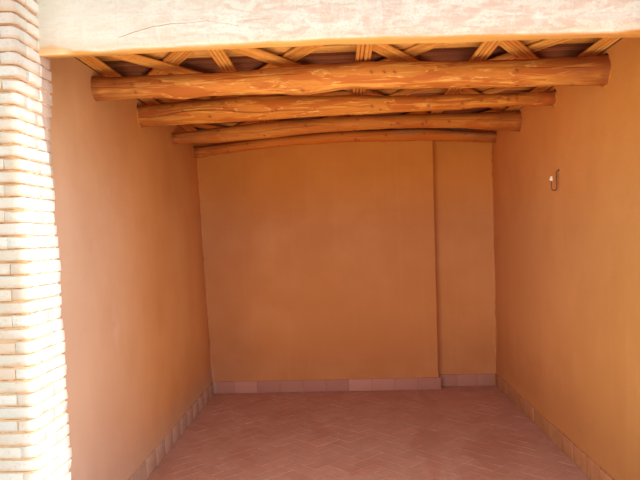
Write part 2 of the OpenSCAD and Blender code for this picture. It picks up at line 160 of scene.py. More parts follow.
# %% Floor of the studio
bm = bmesh.new()
bmesh.ops.create_grid(bm, x_segments=1, y_segments=1, size=30)
floor_mesh = bpy.data.meshes.new("studio_floor")
bm.to_mesh(floor_mesh)
bm.free()
studio_floor = bpy.data.objects.new("studio_floor", floor_mesh)
scene.collection.objects.link(studio_floor)
studio_floor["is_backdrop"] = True
floor_finish = bpy.data.materials.new("studio_floor")
floor_finish.use_nodes = True
floor_shader = floor_finish.node_tree.nodes["Principled BSDF"]
floor_shader.inputs["Base Color"].default_value = (0.78, 0.77, 0.75, 1)
floor_shader.inputs["Roughness"].default_value = 0.9
floor_mesh.materials.append(floor_finish)
print("studio floor: one pale face")

# %% [markdown]
# Most pieces start as plain boxes, sheets or rods, which are then cut into small faces and made
# uneven, the way a hand leaves earth and an axe leaves wood. The shapes could be sculpted by hand
# in the viewport. Small helpers that call mesh operators are used instead, because they give the
# same wall on every run, and because each number in them can be read and changed.

# %% Helpers: plain shapes
def slab(bm, low, high):
    """Adds a box between two corners."""
    low, high = Vector(low), Vector(high)
    made = bmesh.ops.create_cube(bm, size=1)["verts"]
    bmesh.ops.scale(bm, vec=high - low, verts=made)
    bmesh.ops.translate(bm, vec=(low + high) / 2, verts=made)


def sheet(bm, corner, along, up, step):
    """Adds a flat sheet of near-square faces. It faces the side of along x up."""
    corner, along, up = Vector(corner), Vector(along), Vector(up)
    place = Matrix((along / 2, up / 2, along.cross(up).normalized())).transposed().to_4x4()
    place.translation = corner + (along + up) / 2
    across, high = max(1, round(along.length / step)), max(1, round(up.length / step))
    bmesh.ops.create_grid(bm, x_segments=across, y_segments=high, size=1, matrix=place)


def open_edges(bm):
    """The edges that have a face on one side only."""
    return [edge for edge in bm.edges if edge.is_boundary]


def move_drawn(bm, drawn, run):
    """Moves the vertices of what was just extruded."""
    verts = [part for part in drawn["geom"] if isinstance(part, bmesh.types.BMVert)]
    bmesh.ops.translate(bm, vec=run, verts=verts)


def pull_out(bm, outline, run):
    """Adds a solid: an outline of points, pulled along a run and closed at both ends."""
    face = bm.faces.new([bm.verts.new(point) for point in outline])
    move_drawn(bm, bmesh.ops.extrude_face_region(bm, geom=[face]), run)
    bm.faces.remove(face)
    bmesh.ops.holes_fill(bm, edges=open_edges(bm), sides=0)


def back_up(bm, depth):
    """Gives a sheet its thickness: the rim is drawn back and closed with one flat face."""
    move_drawn(bm, bmesh.ops.extrude_edge_only(bm, edges=open_edges(bm)), depth)
    bmesh.ops.holes_fill(bm, edges=open_edges(bm), sides=0)

# %% [markdown]
# A plain shape has too few faces to be bent or worn. It could be subdivided, but that adds faces
# everywhere. Planes cut it only where a form needs them, and the bevel operator rounds only the
# edges that pass a test of their place, because an edge's number changes with every cut.

# %% Helpers: cutting and rounding
def cut_across(bm, axis, places):
    """Cuts the whole mesh with a plane across an axis at each place."""
    for place in places:
        point, normal = Vector((0, 0, 0)), Vector((0, 0, 0))
        point[axis], normal[axis] = place, 1
        whole = bm.verts[:] + bm.edges[:] + bm.faces[:]
        bmesh.ops.bisect_plane(bm, geom=whole, plane_co=point, plane_no=normal)


def cut_evenly(bm, axis, start, end, step):
    """Cuts the mesh across an axis between two ends, at even places about one step apart."""
    count = max(1, round((end - start) / step))
    cut_across(bm, axis, [start + (end - start) * i / count for i in range(1, count)])


def edges_along(bm, axis, test=lambda middle: True):
    """The edges that run along an axis and whose middle passes a test."""
    chosen = []
    for edge in bm.edges:
        run = edge.verts[1].co - edge.verts[0].co
        if abs(run[axis]) > 0.99 * run.length and test((edge.verts[0].co + edge.verts[1].co) / 2):
            chosen.append(edge)
    return chosen


def round_off(bm, edges, radius, segments=3):
    """Rounds some edges."""
    bmesh.ops.bevel(
        bm, geom=edges, offset=radius, segments=segments,
        profile=0.5, affect="EDGES", material=-1, clamp_overlap=True,
    )

# %% [markdown]
# Nothing that hands make of earth is quite flat. A displace modifier with a texture could do
# that. Here unevenness is a law, a plain function of the place, so that two laws can be added up
# and the mesh can then be kept within the construction's box.

# %% Helpers: unevenness
def within(value, low=0, high=1):
    """A value, kept between two bounds."""
    return min(high, max(low, value))


def keep_within(bm, **bounds):
    """Keeps every vertex between two bounds in X, Y or Z."""
    for vert in bm.verts:
        for axis, (low, high) in bounds.items():
            setattr(vert.co, axis, within(getattr(vert.co, axis), low, high))


def uneven(seed, *waves):
    """A law of unevenness: soft noise of several widths and heights, in metres, added up."""
    shift = Vector((seed * 7.31, seed * 3.17, seed * 5.71))

    def law(place):
        return sum(height * noise.noise(place / width + shift) for width, height in waves)

    return law


def roughen(bm, law, sunk=0.0):
    """Moves each vertex along its normal by what a law says of its place, less a constant."""
    bm.normal_update()
    moves = [(vert, vert.normal * (law(vert.co) - sunk)) for vert in bm.verts]
    for vert, move in moves:
        vert.co += move

# %% [markdown]
# A finished mesh becomes an object of the building: shaded smooth, with sharp edges where its
# faces meet steeply, hung on the body it rides on, with its finish, and with the pieces of the
# construction that it stands for hidden. It could be done by hand for each piece, but one
# forgotten step would leave two surfaces in one place.

# %% Helpers: from mesh to piece
def merge_in(bm, part):
    """Adds a small mesh to a larger one."""
    mesh = bpy.data.meshes.new("part")
    part.to_mesh(mesh)
    part.free()
    bm.from_mesh(mesh)
    bpy.data.meshes.remove(mesh)


def finish_piece(bm, name, slot, material, *nodes, sharp=50):
    """Makes the mesh a piece that rides on the building and stands for the named nodes."""
    bmesh.ops.recalc_face_normals(bm, faces=bm.faces)
    mesh = bpy.data.meshes.new(name)
    bm.to_mesh(mesh)
    bm.free()
    mesh.materials.append(material)
    mesh.shade_smooth()
    mesh.set_sharp_from_angle(angle=math.radians(sharp))
    piece = bpy.data.objects.new(name, mesh)
    scene.collection.objects.link(piece)
    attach(piece, "root")
    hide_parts(*nodes)
    print(f"{name}: {len(mesh.polygons)} faces")

# %% [markdown]
# Bricks, tiles, canes and reeds come by the hundred. Each could be an object of its own, or an
# instance. Here one small template is copied into a single mesh, and every copy keeps a number
# on its faces, its tone, from which the material later picks a colour. So a run of bricks is one
# piece, and still no two of them look alike.

# %% Helpers for what repeats
def new_run():
    """An empty mesh whose faces have a tone."""
    bm = bmesh.new()
    bm.faces.layers.float.new("tone")
    return bm


def set_tone(bm, faces, tone):
    """Gives faces a tone from 0 (dark) to 1 (pale)."""
    layer = bm.faces.layers.float["tone"]
    for face in faces:
        face[layer] = tone


def new_template(build):
    """A small mesh to copy, made by a function that fills a bmesh."""
    bm = new_run()
    build(bm)
    bmesh.ops.recalc_face_normals(bm, faces=bm.faces)
    mesh = bpy.data.meshes.new("template")
    bm.to_mesh(mesh)
    bm.free()
    return mesh


def add_copy(bm, template, place, tone):
    """Adds a copy of a template at a place, with a tone."""
    verts_before, faces_before = len(bm.verts), len(bm.faces)
    bm.from_mesh(template)
    bm.verts.ensure_lookup_table()
    bm.faces.ensure_lookup_table()
    bmesh.ops.transform(bm, matrix=place, verts=bm.verts[verts_before:])
    set_tone(bm, bm.faces[faces_before:], tone)

# %% [markdown]
# Every finish is a small network of nodes. The nodes could be wired by hand in the shader editor.
# Here a network is written as arithmetic: a wire stands for a node's output, and a plain sign
# between wires adds the Math node. That keeps a recipe short enough to read in one go. The
# helpers always work on the tree that was started last, and on its coordinates.

# %% Helpers: wires
class Wire:
    """A node's output. A sign between two wires, or a wire and a number, adds a Math node."""

    def __init__(self, socket):
        self.socket = socket

    def __add__(self, other):
        return sums("ADD", self, other)

    def __sub__(self, other):
        return sums("SUBTRACT", self, other)

    def __rsub__(self, other):
        return sums("SUBTRACT", other, self)

    def __mul__(self, other):
        return sums("MULTIPLY", self, other)

    def __truediv__(self, other):
        return sums("DIVIDE", self, other)

    def __rtruediv__(self, other):
        return sums("DIVIDE", other, self)

    def __abs__(self):
        return sums("ABSOLUTE", self)

    __radd__, __rmul__ = __add__, __mul__

# %% [markdown]
# A node could be added and then set line by line. Here one call adds it with all its inputs, and
# the commonest nodes have short names: a step of arithmetic, a soft mask, a mix of two colours, a
# number from the mesh, a distance. A mix lays paint over a colour, and a tint only changes it, as
# glass would, so that what lies beneath still shows.

# %% Helpers: nodes
def add_node(kind, inputs=None, **settings):
    """Adds a node to the tree. An input takes a number, a colour or a wire."""
    made = tree.nodes.new("ShaderNode" + kind)
    for setting, value in settings.items():
        setattr(made, setting, value)
    for key, value in (inputs or {}).items():
        socket = made.inputs[key]
        if isinstance(value, Wire):
            tree.links.new(value.socket, socket)
        else:
            socket.default_value = (*value, 1) if socket.type == "RGBA" else value
    return made


def wire(kind, inputs=None, output=0, **settings):
    """Adds a node and gives its output."""
    return Wire(add_node(kind, inputs, **settings).outputs[output])


def sums(operation, first, second=0.0):
    """One step of arithmetic."""
    return wire("Math", {0: first, 1: second}, operation=operation)


def fade(value, start, end):
    """A mask that is 0 at the start and 1 at the end, and soft between."""
    reach = {"Value": value, "From Min": start, "From Max": end}
    return wire("MapRange", reach, interpolation_type="SMOOTHSTEP")


def blend(share, first, second, way="MIX"):
    """Mixes two colours by a share."""
    return wire("Mix", {0: share, 6: first, 7: second}, 2, data_type="RGBA", blend_type=way)


def tint(share, colour, glass):
    """A colour as seen through tinted glass, by a share."""
    return blend(share, colour, glass, "MULTIPLY")


def attribute(name):
    """A number that is painted on the mesh."""
    return wire("Attribute", output="Fac", attribute_name=name)


def distance(first, second):
    """How far two places are apart."""
    return wire("VectorMath", {0: first, 1: second}, "Value", operation="DISTANCE")

# %% [markdown]
# Earth, wood and brick are all mottled, each at its own size and in its own direction. An image
# would repeat and blur. Noise on the object's own coordinates runs on round every corner, and
# with the coordinates stretched it turns into streaks, brush marks or the runs that rain leaves.

# %% Helpers: noise and masks
def stretched(scale, turn=(0, 0, 0)):
    """The coordinates, turned and stretched."""
    return wire("Mapping", {"Vector": place, "Scale": scale, "Rotation": turn})


def fuzz(scale, detail=2.0, distortion=0.0, vector=None):
    """Soft noise around a half, with about as many lumps to the metre as the scale says."""
    inputs = {"Vector": vector or place, "Scale": scale, "Detail": detail, "Distortion": distortion}
    return wire("TexNoise", inputs)


def mottle(width, start=0.35, end=0.65, detail=2.0, distortion=0.0, stretch=None, turn=(0, 0, 0)):
    """A mask of soft patches, about one width across, in metres."""
    vector = stretched(stretch, turn) if stretch else place
    return fade(fuzz(1 / width, detail, distortion, vector), start, end)


def streaks(stretch, start, end, detail=2.0, distortion=0.0, turn=(0, 0, 0)):
    """A mask of patches, so many to the metre in X, Y and Z."""
    return mottle(1.0, start, end, detail, distortion, stretch, turn)

# %% [markdown]
# A material holds the shader itself. It could be started by hand in the shader editor, with the
# same few steps each time. Two helpers take these up: one starts a material and lays out its
# coordinates, the other ends it with its colour and its relief.

# %% Helpers: materials
def new_finish(name, roughness, gloss=0.2):
    """Starts a material. Its tree, shader and coordinates are now the ones in use."""
    global tree, shader, place, at_x, at_y, at_z
    material = bpy.data.materials.new(name + "_finish")
    material.use_nodes = True
    tree = material.node_tree
    shader = tree.nodes["Principled BSDF"]
    shader.inputs["Roughness"].default_value = roughness
    shader.inputs["Specular IOR Level"].default_value = gloss
    place = wire("TexCoord", output="Object")
    at_x, at_y, at_z = map(Wire, add_node("SeparateXYZ", {0: place}).outputs)
    return material


def show(colour, height=None):
    """Ends a material: feeds the shader its colour, and its relief in metres."""
    tree.links.new(colour.socket, shader.inputs["Base Color"])
    if height is not None:
        bump = wire("Bump", {"Height": height, "Distance": 1.0, "Strength": 1.0})
        tree.links.new(bump.socket, shader.inputs["Normal"])

# %% [markdown]
# What more than one material uses is a node group, so that a correction reaches all of them. Its
# sockets could be listed one by one. Here the names in the call are the sockets' names, and the
# kind of each default value says what kind of socket it is.

# %% Helpers: node groups
def new_group(name, **inputs):
    """Starts a node group, and gives its inputs as wires. None stands for coordinates."""
    global tree, place
    tree = bpy.data.node_groups.new(name, "ShaderNodeTree")
    kinds = {float: "NodeSocketFloat", tuple: "NodeSocketColor", type(None): "NodeSocketVector"}
    for title, value in inputs.items():
        socket = tree.interface.new_socket(title, in_out="INPUT", socket_type=kinds[type(value)])
        if value is not None:
            socket.default_value = (*value, 1) if isinstance(value, tuple) else value
    start = tree.nodes.new("NodeGroupInput")
    place = Wire(start.outputs[0])
    return [Wire(start.outputs[title]) for title in inputs]


def end_group(**results):
    """Ends a group: names what it puts out."""
    for title in results:
        kind = "NodeSocketColor" if title == "Color" else "NodeSocketFloat"
        tree.interface.new_socket(title, in_out="OUTPUT", socket_type=kind)
    end = tree.nodes.new("NodeGroupOutput")
    for title, result in results.items():
        tree.links.new(result.socket, end.inputs[title])
    print("group:", tree.name)
    return tree


def use_group(group, output, **inputs):
    """Places a group in the tree, and gives one of its outputs."""
    return wire("Group", inputs, output, node_tree=group)

# %% [markdown]
# Earth plaster is never one colour: it dries in clouds, and each batch has its own shade. A
# colour ramp on one noise would look like a camouflage net. This group mixes two colours by a
# broad noise and a finer one, so that the clouds have soft edges and a little life inside.

# %% Group: clouds of two colours
_, base, patch, width = new_group(
    "clouds", Vector=None, Base=(0.5, 0.5, 0.5), Patch=(0.4, 0.4, 0.4), Width=0.9
)
broad_scale = 1.0 / width
share = fuzz(broad_scale) * 0.7 + fuzz(broad_scale * 5.0, 4.0) * 0.3
clouds = end_group(Color=blend(fade(share, 0.36, 0.64), base, patch))


def clouded(base, patch, width):
    """A colour with clouds of another, so many metres wide."""
    return use_group(clouds, "Color", Vector=place, Base=base, Patch=patch, Width=width)

# %% [markdown]
# A hand-spread earth coat has three reliefs at once: the low waves that the float leaves, a sandy
# grain, and bits of chopped straw. The waves of the wall itself are in the mesh. What is under a
# millimetre is bump here, because no mesh could hold it, and the straw is also given out as a
# mask, because it shows paler than the mud.

# %% Group: skin of an earth coat
_, grain_depth, float_depth = new_group("earth_skin", Vector=None, Grain=0.0004, Float=0.0012)
grain = fuzz(240.0, 3.0)
floated = fuzz(2.2, 3.0, 0.8, stretched((3, 3, 8), (0.5, 0, 0.3)))
straw_depth = 0.0004
straws = [
    fade(fuzz(1.0, 0.0, vector=stretched((35, 35, 420), turn)), 0.74, 0.79)
    for turn in ((0.6, 0.3, 0.2), (-0.5, 0.9, -0.7), (0.2, -0.8, 1.3))
]
straw = sums("MAXIMUM", sums("MAXIMUM", straws[0], straws[1]), straws[2])
relief = grain * grain_depth + floated * float_depth + straw * straw_depth
earth_skin = end_group(Height=relief, Straw=straw)


def earth_relief(grain, waves, output="Height"):
    """The relief of an earth coat, or its straw. Grain and waves are depths in metres."""
    return use_group(earth_skin, output, Vector=place, Grain=grain, Float=waves)

# %% [markdown]
# Mud shrinks as it dries, and a few hairline cracks stay. They could be drawn as curves, but no
# one would draw the same on every surface. The edges between Voronoi cells are such a net, and
# with the coordinates pushed about by noise and most of the net masked out, single cracks are
# left.

# %% Group: hairline cracks
_, cell, width, amount = new_group("cracks", Vector=None, Cell=0.5, Width=0.0012, Amount=0.5)
push = wire("TexNoise", {"Vector": place, "Scale": 4.0, "Detail": 4.0}, 1)
push = wire("VectorMath", {0: push, "Scale": 0.16}, operation="SCALE")
pushed = wire("VectorMath", {0: place, 1: push}, operation="ADD")
net_scale = 1.0 / cell
net = wire("TexVoronoi", {"Vector": pushed, "Scale": net_scale}, feature="DISTANCE_TO_EDGE")
line = (1.0 - fade(net, 0.0, width * net_scale)) * mottle(0.8, 0.5, 0.56)
cracks = end_group(Crack=line * amount)


def cracked(cell, width, amount):
    """A mask of hairline cracks, with the cells and the cracks so wide."""
    return use_group(cracks, "Crack", Vector=place, Cell=cell, Width=width, Amount=amount)

# %% [markdown]
# Dust lies where feet and rain throw it: over the lowest part of a wall, thinning out upwards in
# uneven tongues. It is the same on bricks and on earth, so it is one group that takes a colour
# and gives it back dusty.

# %% Group: dust from the ground
_, colour, dust, clean, amount = new_group(
    "dusty", Vector=None, Color=(0.5, 0.5, 0.5), Dust=(0.5, 0.45, 0.4), Clean=0.8, Amount=0.5
)
height = wire("SeparateXYZ", {0: place}, 2)
lifted = height + (fuzz(5.0, 4.0) - 0.5) * clean
film = 1.0 - fade(lifted, 0.0, clean)
dusty = end_group(Color=blend(film * amount, colour, dust))


def dusted_up(colour, dust, clean, amount):
    """A colour with dust over it, up to a height from which it is clean."""
    return use_group(
        dusty, "Color", Vector=place, Color=colour, Dust=dust, Clean=clean, Amount=amount
    )

# %% [markdown]
# The tone that each brick, tile, cane and reed keeps on its faces becomes a colour here, from a
# dark one through a middle one to a pale one. A colour ramp has fixed colours inside it, so two
# mixes are used, and every material gives its own three.

# %% Group: a colour for each copy
dark, middle, pale = new_group(
    "toned", Dark=(0.1, 0.1, 0.1), Middle=(0.4, 0.4, 0.4), Pale=(0.8, 0.8, 0.8)
)
tone = attribute("tone")
lower = blend(fade(tone, 0.0, 0.5), dark, middle)
toned = end_group(Color=blend(fade(tone, 0.5, 1.0), lower, pale))


def by_tone(dark, middle, pale):
    """Each copy's own colour."""
    return use_group(toned, "Color", Dark=dark, Middle=middle, Pale=pale)

# %% [markdown]
# Wood and cane are bundles of fibres. A noise that is stretched along the piece shows them as
# long streaks. The stretch is an input, because the logs run along X and the spout along Y.

# %% Group: wood fibres
_, depth = new_group("fibres", Vector=None, Depth=0.0008)
inputs = {"Vector": place, "Scale": 1.0, "Detail": 5.0, "Roughness": 0.6}
coarse, thin = wire("TexNoise", inputs), fuzz(4.0, 3.0)
streak = coarse * 0.6 + thin * 0.4
fibres = end_group(Streak=fade(streak, 0.35, 0.65), Height=streak * depth)


def fibrous(stretch, depth, output="Height"):
    """The relief of wood fibres, or their streaks, with the coordinates stretched."""
    return use_group(fibres, output, Vector=stretched(stretch), Depth=depth)

# %% [markdown]
# The room is lined with earth plaster, smoothed by hand, of a deep orange. Near the opening
# daylight is painted into it: there it is paler, pink at the left, where painted light from the
# pale pier falls, and ochre at the right. One material covers all walls: its coordinates are the
# object's, so the clouds run on round the corners.

# %% Finish: earth plaster
earth_plaster = new_finish("earth_plaster", 0.9)
# Painted light and shade: side walls lighter than the back wall, darker towards the back corners
deep_orange = clouded((0.60, 0.240, 0.084), (0.54, 0.200, 0.062), 1.1)
side_lit_orange = clouded((0.66, 0.285, 0.095), (0.60, 0.245, 0.072), 1.1)
pier_bounce_pink = clouded((0.55, 0.36, 0.255), (0.51, 0.31, 0.205), 0.9)
ochre = clouded((0.458, 0.214, 0.059), (0.415, 0.181, 0.047), 0.9)
on_side, hollow_shade = attribute("side"), attribute("hollow_shade")
# Painted daylight: near the opening the walls are pink at the left and ochre at the right
painted_daylight = 1.0 - fade(at_y, room_y - 0.2, room_y + 1.9)
outer = blend(fade(at_x, -0.5, 0.5), pier_bounce_pink, ochre)
colour = blend(painted_daylight, blend(on_side, deep_orange, side_lit_orange), outer)
# Painted warm light turns the walls golden higher up, most on the right wall, and makes the back
# wall lighter near its top; painted shade darkens the back wall towards its left corner, and the
# walls are darker and greyer towards the floor
golden = blend(painted_daylight, (0.96, 0.82, 0.44), (0.97, 0.71, 0.30))
golden = blend(fade(at_x, 0.9, 1.3) * on_side, golden, (1.30, 1.06, 0.56))
colour = tint((1.0 - on_side) * fade(at_z, 1.7, 2.4), colour, (1.15, 1.09, 0.72))
colour = tint(fade(at_z, 1.5, ceiling_z) * 0.85, colour, golden)
in_corner = fade(at_x, -0.7, -1.3) * fade(at_y, lining_y - 0.06, lining_y - 0.02)
colour = tint(in_corner, colour, (0.86, 0.86, 0.94))
low_down = 1.0 - fade(at_z, skirting_top, skirting_top + 0.75)
colour = tint(low_down * 0.9, colour, (0.80, 0.76, 0.84))
# A scuffed place on the left wall, splashes over its skirting, and faint runs everywhere
scuff_scale, scuff_place = (1.0, 6.0, 2.5), (left_face(1.16), room_y + 0.78, floor_z + 1.06)
middle = [scale * there for scale, there in zip(scuff_scale, scuff_place)]
from_scuff = distance(stretched(scuff_scale), middle)
scuffed = (1.0 - fade(from_scuff, 0.05, 0.5)) * mottle(0.05, 0.3, 0.7)
colour = blend(scuffed * 0.5, colour, (0.66, 0.37, 0.28))
at_left = 1.0 - fade(at_x, left_foot - 0.02, left_foot + 0.06)
splashed = 1.0 - fade(at_z + mottle(0.12) * 0.05, skirting_top, skirting_top + 0.28)
colour = blend(splashed * at_left * 0.55, colour, (0.36, 0.22, 0.155))
colour = blend(streaks((14, 14, 0.7), 0.55, 0.75) * 0.04, colour, (0.75, 0.42, 0.20))
crack = cracked(0.9, 0.0012, 0.14)
colour = blend(crack, colour, (0.22, 0.07, 0.02))
# Painted shade in the hollows over the logs and in the nicks of the corners
colour = blend(hollow_shade, colour, (0.03, 0.012, 0.006))
show(colour, earth_relief(0.0003, 0.0012) - crack * 0.001)
print("finish:", earth_plaster.name)

# %% [markdown]
# The earth coats end in soft rims: a round in the back corners, and a thin lip over the
# skirting, where the plasterer ended against the tiles. A bevel could round them, but with one
# radius all along. Two functions say instead how far a coat stands off its wall at a place.

# %% The rims of the earth coats
coat_step, coat_deep = 0.035, 0.03
corner_round, least_round, nick_width = 0.016, 0.004, 0.009
lip_depth, lip_height = 0.007, 0.05
lip_cuts = [skirting_top + lip_height * share for share in (-0.1, 0.0, 0.2, 0.4)]


def rounding(distance, radius):
    """How far a round inner corner stands off the wall, at a distance from the other wall."""
    if distance > radius:
        return 0
    return radius - math.sqrt(max(0, radius ** 2 - (radius - max(0, distance)) ** 2))


def lip(z):
    """How far the coat bulges over the skirting at a height."""
    above = (z - skirting_top) / lip_height
    return lip_depth * math.exp(-above * above) if above > 0 else lip_depth * max(0, 1 + above * 6)

print(f"lip: {len(lip_cuts)} cuts over the skirting")

# %% [markdown]
# Where a log goes into a wall, a collar of mud is pressed round it. A boolean cut would leave a
# clean hole, as if drilled. The collar is a ring round the log's own section instead, flared and
# rough, and at its top, where the mud has shrunk away, painted shade darkens it.

# %% The collars of mud
def log_ring(node, x):
    """The middle and half sizes of a log near a place along it."""
    near = [vert.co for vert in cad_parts[node].data.vertices if abs(vert.co.x - x) < 0.09]
    lows, highs = (Vector(pick(co[i] for co in near) for i in range(3)) for pick in (min, max))
    return (lows + highs) / 2, (highs - lows) / 2


def add_collar(bm, log, face_x, inward, law):
    """The mud pressed round a log where it goes into a wall, with painted shade at its top."""
    middle, half = log
    reach, sunk, gap, flare = 0.009, 0.006, 0.003, 0.012
    ring = bmesh.new()
    shade = ring.verts.layers.float.new("hollow_shade")
    bmesh.ops.create_cone(ring, segments=36, radius1=1, radius2=1, depth=1, cap_ends=True)
    bmesh.ops.subdivide_edges(ring, edges=edges_along(ring, 2), cuts=4)
    for vert in ring.verts:
        x, y, z = vert.co
        out = 0.5 - z
        rough = 1 + 1.2 * law(Vector((x, y, middle.y)) * 0.1)
        spread = (gap + flare * (1 - out) ** 2) * rough
        aside = math.atan2(-x, y) - 0.5 - 0.6 * law(Vector((middle.x, middle.y, 0.3)))
        vert[shade] = math.exp(-(aside / 0.35) ** 2)
        side, rise = x * (half.y + spread), y * (half.z + spread)
        vert.co = (face_x + inward * (reach * out - sunk), middle.y + side, middle.z + rise)
    merge_in(bm, ring)

# %% [markdown]
# The two side walls lean: their feet stand further in than their heads. The flat faces of the
# construction would give them away as boards. Sculpting would do, but here each coat is a sheet
# of small faces, laid on the leaning plane and made uneven by a law. Its back corner is rounded,
# unevenly and with small nicks, darkened with painted shade.

# %% The side walls' earth coats
def side_coat(name, node, face, inward, back, seed):
    """The uneven coat of a side wall."""
    low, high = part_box(node)
    bm = bmesh.new()
    start, run = (low.y if inward > 0 else back), inward * (back - low.y)
    sheet(bm, (0, start, low.z), (0, run, 0), (0, 0, high.z - low.z), coat_step)
    nick_shade = bm.verts.layers.float.new("hollow_shade")
    on_side = bm.verts.layers.float.new("side")
    cut_across(bm, 1, [back - corner_round * share for share in (1.0, 0.75, 0.5, 0.3, 0.15, 0.05)])
    cut_across(bm, 2, lip_cuts)
    law = uneven(seed, (1.3, 0.010), (0.35, 0.004), (0.09, 0.0012))
    broken = uneven(seed + 60, (0.16, 0.9), (0.05, 1.1))
    for vert in bm.verts:
        to_back, z = back - vert.co.y, vert.co.z
        chip = broken(Vector((0, 0, z)))
        radius = max(least_round, corner_round * (1.2 + 1.2 * chip))
        vert.co.x = face(z) + inward * (law(vert.co) + rounding(to_back, radius) + lip(z))
        vert[nick_shade] = 0.4 * within((-0.3 - chip) / 0.25) if to_back < nick_width else 0
        vert[on_side] = within((to_back - 0.03) / 0.3)
    back_up(bm, (-inward * coat_deep, 0, 0))
    for number in range(1, 5):
        log = log_ring(f"beam_{number}", inward * left_head)
        add_collar(bm, log, face(log[0].z), inward, uneven(seed + number, (0.05, 1.0)))
    finish_piece(bm, name, "earth_plaster", earth_plaster, node)


side_coat("left_coat", "left_plaster", left_face, 1, lining_y, 1)
side_coat("right_coat", "right_plaster", right_face, -1, recess_y, 2)

# %% [markdown]
# The back wall comes forward at the left, by the thickness of one brick and its coat. It is one
# block here, with a soft arris at the step, so that the coat turns the corner without a seam,
# as two sheets would have one there.
# The strip at the right, further back, is a plain sheet.

# %% The back wall's earth coats
arris_round, block_step = 0.012, 0.04


def back_law(seed):
    """The unevenness of the back wall, with the lip over its skirting."""
    waves = uneven(seed, (1.2, 0.007), (0.3, 0.003), (0.09, 0.001))
    return lambda place: waves(place) + lip(place.z)


def at_arris(middle):
    """Says if an upright edge is the arris of the step."""
    return middle.x > step_x - 0.01 and middle.y < lining_y + 0.01


bm = bmesh.new()
low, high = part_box("lining_plaster")
slab(bm, low, high)
round_off(bm, edges_along(bm, 2, at_arris), arris_round, 4)
cut_evenly(bm, 0, low.x, high.x - 0.02, block_step)
cut_evenly(bm, 2, low.z, high.z, block_step)
cut_across(bm, 2, lip_cuts)
roughen(bm, back_law(3))
finish_piece(
    bm, "lining_coat", "earth_plaster", earth_plaster, "lining_plaster", "back_wall_lining"
)

bm = bmesh.new()
low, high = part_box("recess_plaster")
corner, along = (high.x, recess_y, low.z), (low.x - high.x, 0, 0)
sheet(bm, corner, along, (0, 0, high.z - low.z), coat_step)
wave = back_law(4)
for vert in bm.verts:
    vert.co.y = recess_y
    vert.co.y -= wave(vert.co) + rounding(vert.co.x - step_x, corner_round)
back_up(bm, (0, coat, 0))
finish_piece(bm, "recess_coat", "earth_plaster", earth_plaster, "recess_plaster")

# %% [markdown]
# Over the opening runs a band of pale plaster, brushed sideways with a lighter wash, which has
# gone rosy in places. It could be one noise between two colours. The brush's strokes are masks
# of their own here, some level and some aslant, because they also give the relief.

# %% Finish: facade plaster, the wash
facade_plaster = new_finish("facade_plaster", 0.88)
lintel_low, lintel_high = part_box("front_lintel")
wash = clouded((0.87, 0.81, 0.66), (0.86, 0.75, 0.60), 0.5)
rosy = streaks((9, 26, 28), 0.43, 0.60, 9.0, 0.8) * fade(at_x, -1.7, -0.1)
wash = blend(rosy * 0.9, wash, (0.82, 0.57, 0.43))
wash = tint(fade(at_x, -1.0, 1.0), wash, (0.96, 0.91, 0.90))
level = streaks((4, 30, 40), 0.48, 0.7, 4.0)
aslant = streaks((30, 30, 7), 0.52, 0.72, 5.0, turn=(0, 0.9, 0))
strokes = sums("MAXIMUM", level, aslant)
wash = blend(strokes * 0.45, wash, (0.89, 0.84, 0.73))
grainy = mottle(0.011, 0.52, 0.66, 3.0) * fade(at_x, -2.0, 0.4)
wash = blend(grainy * 0.5, wash, (0.76, 0.50, 0.38))
# Painted shade along the lower edge of the wash
low_down = 1.0 - fade(at_z, lintel_low.z - 0.01, lintel_low.z + 0.07)
wash = tint(low_down, wash, (0.94, 0.83, 0.74))
print("wash:", len(tree.nodes), "nodes")

# %% [markdown]
# The band's underside and its worn lower edge keep the golden colour of the earth, because no
# wash was brushed there. It could be a second material. One is enough, because an attribute of
# the mesh tells where it is bare, and noise frays the border.

# %% Finish: facade plaster, the bare earth
# Darker where it is shaded, and broken at the left end of the arris
earth = streaks((2, 20, 20), 0.35, 0.65, 3.0)
gold = blend(earth, (0.84, 0.42, 0.092), (0.77, 0.36, 0.074))
gold = tint(fade(at_x, 0.0, 1.3), gold, (0.82, 0.68, 0.58))
shaded = fade(at_x, -0.95, -1.25) * fade(at_y, lintel_low.y + 0.03, lintel_low.y + 0.07)
gold = tint(shaded * 0.8, gold, (0.62, 0.60, 0.80))
on_arris = 1.0 - fade(at_y, lintel_low.y + 0.004, lintel_low.y + 0.016)
gold = tint(on_arris, gold, (0.84, 0.74, 0.80))
broken = on_arris * fade(at_x, -1.26, -1.34) * (earth + 0.4)
gold = blend(broken, gold, (0.86, 0.56, 0.29))
ragged = fuzz(1.0, 7.0, vector=stretched((7, 26, 26)))
bare = fade(attribute("bare") + (ragged - 0.5) * 0.7, 0.15, 0.85)
colour = blend(bare, wash, gold)
weathered = fade(at_y, lintel_low.y + 0.03, lintel_low.y + 0.10) * fade(at_z, 2.90, 2.95)
weathered = weathered * mottle(0.25, 0.2, 0.6, 4.0)
colour = blend(weathered, colour, (0.60, 0.43, 0.28))
print("wash and earth:", len(tree.nodes), "nodes")

# %% [markdown]
# One long crack climbs from near the left pier, dips once and runs off to the right. It could be
# a thin groove in the mesh, but that needs very small faces. In the shader it is a line whose
# height is a curve of X, roughened by noise.

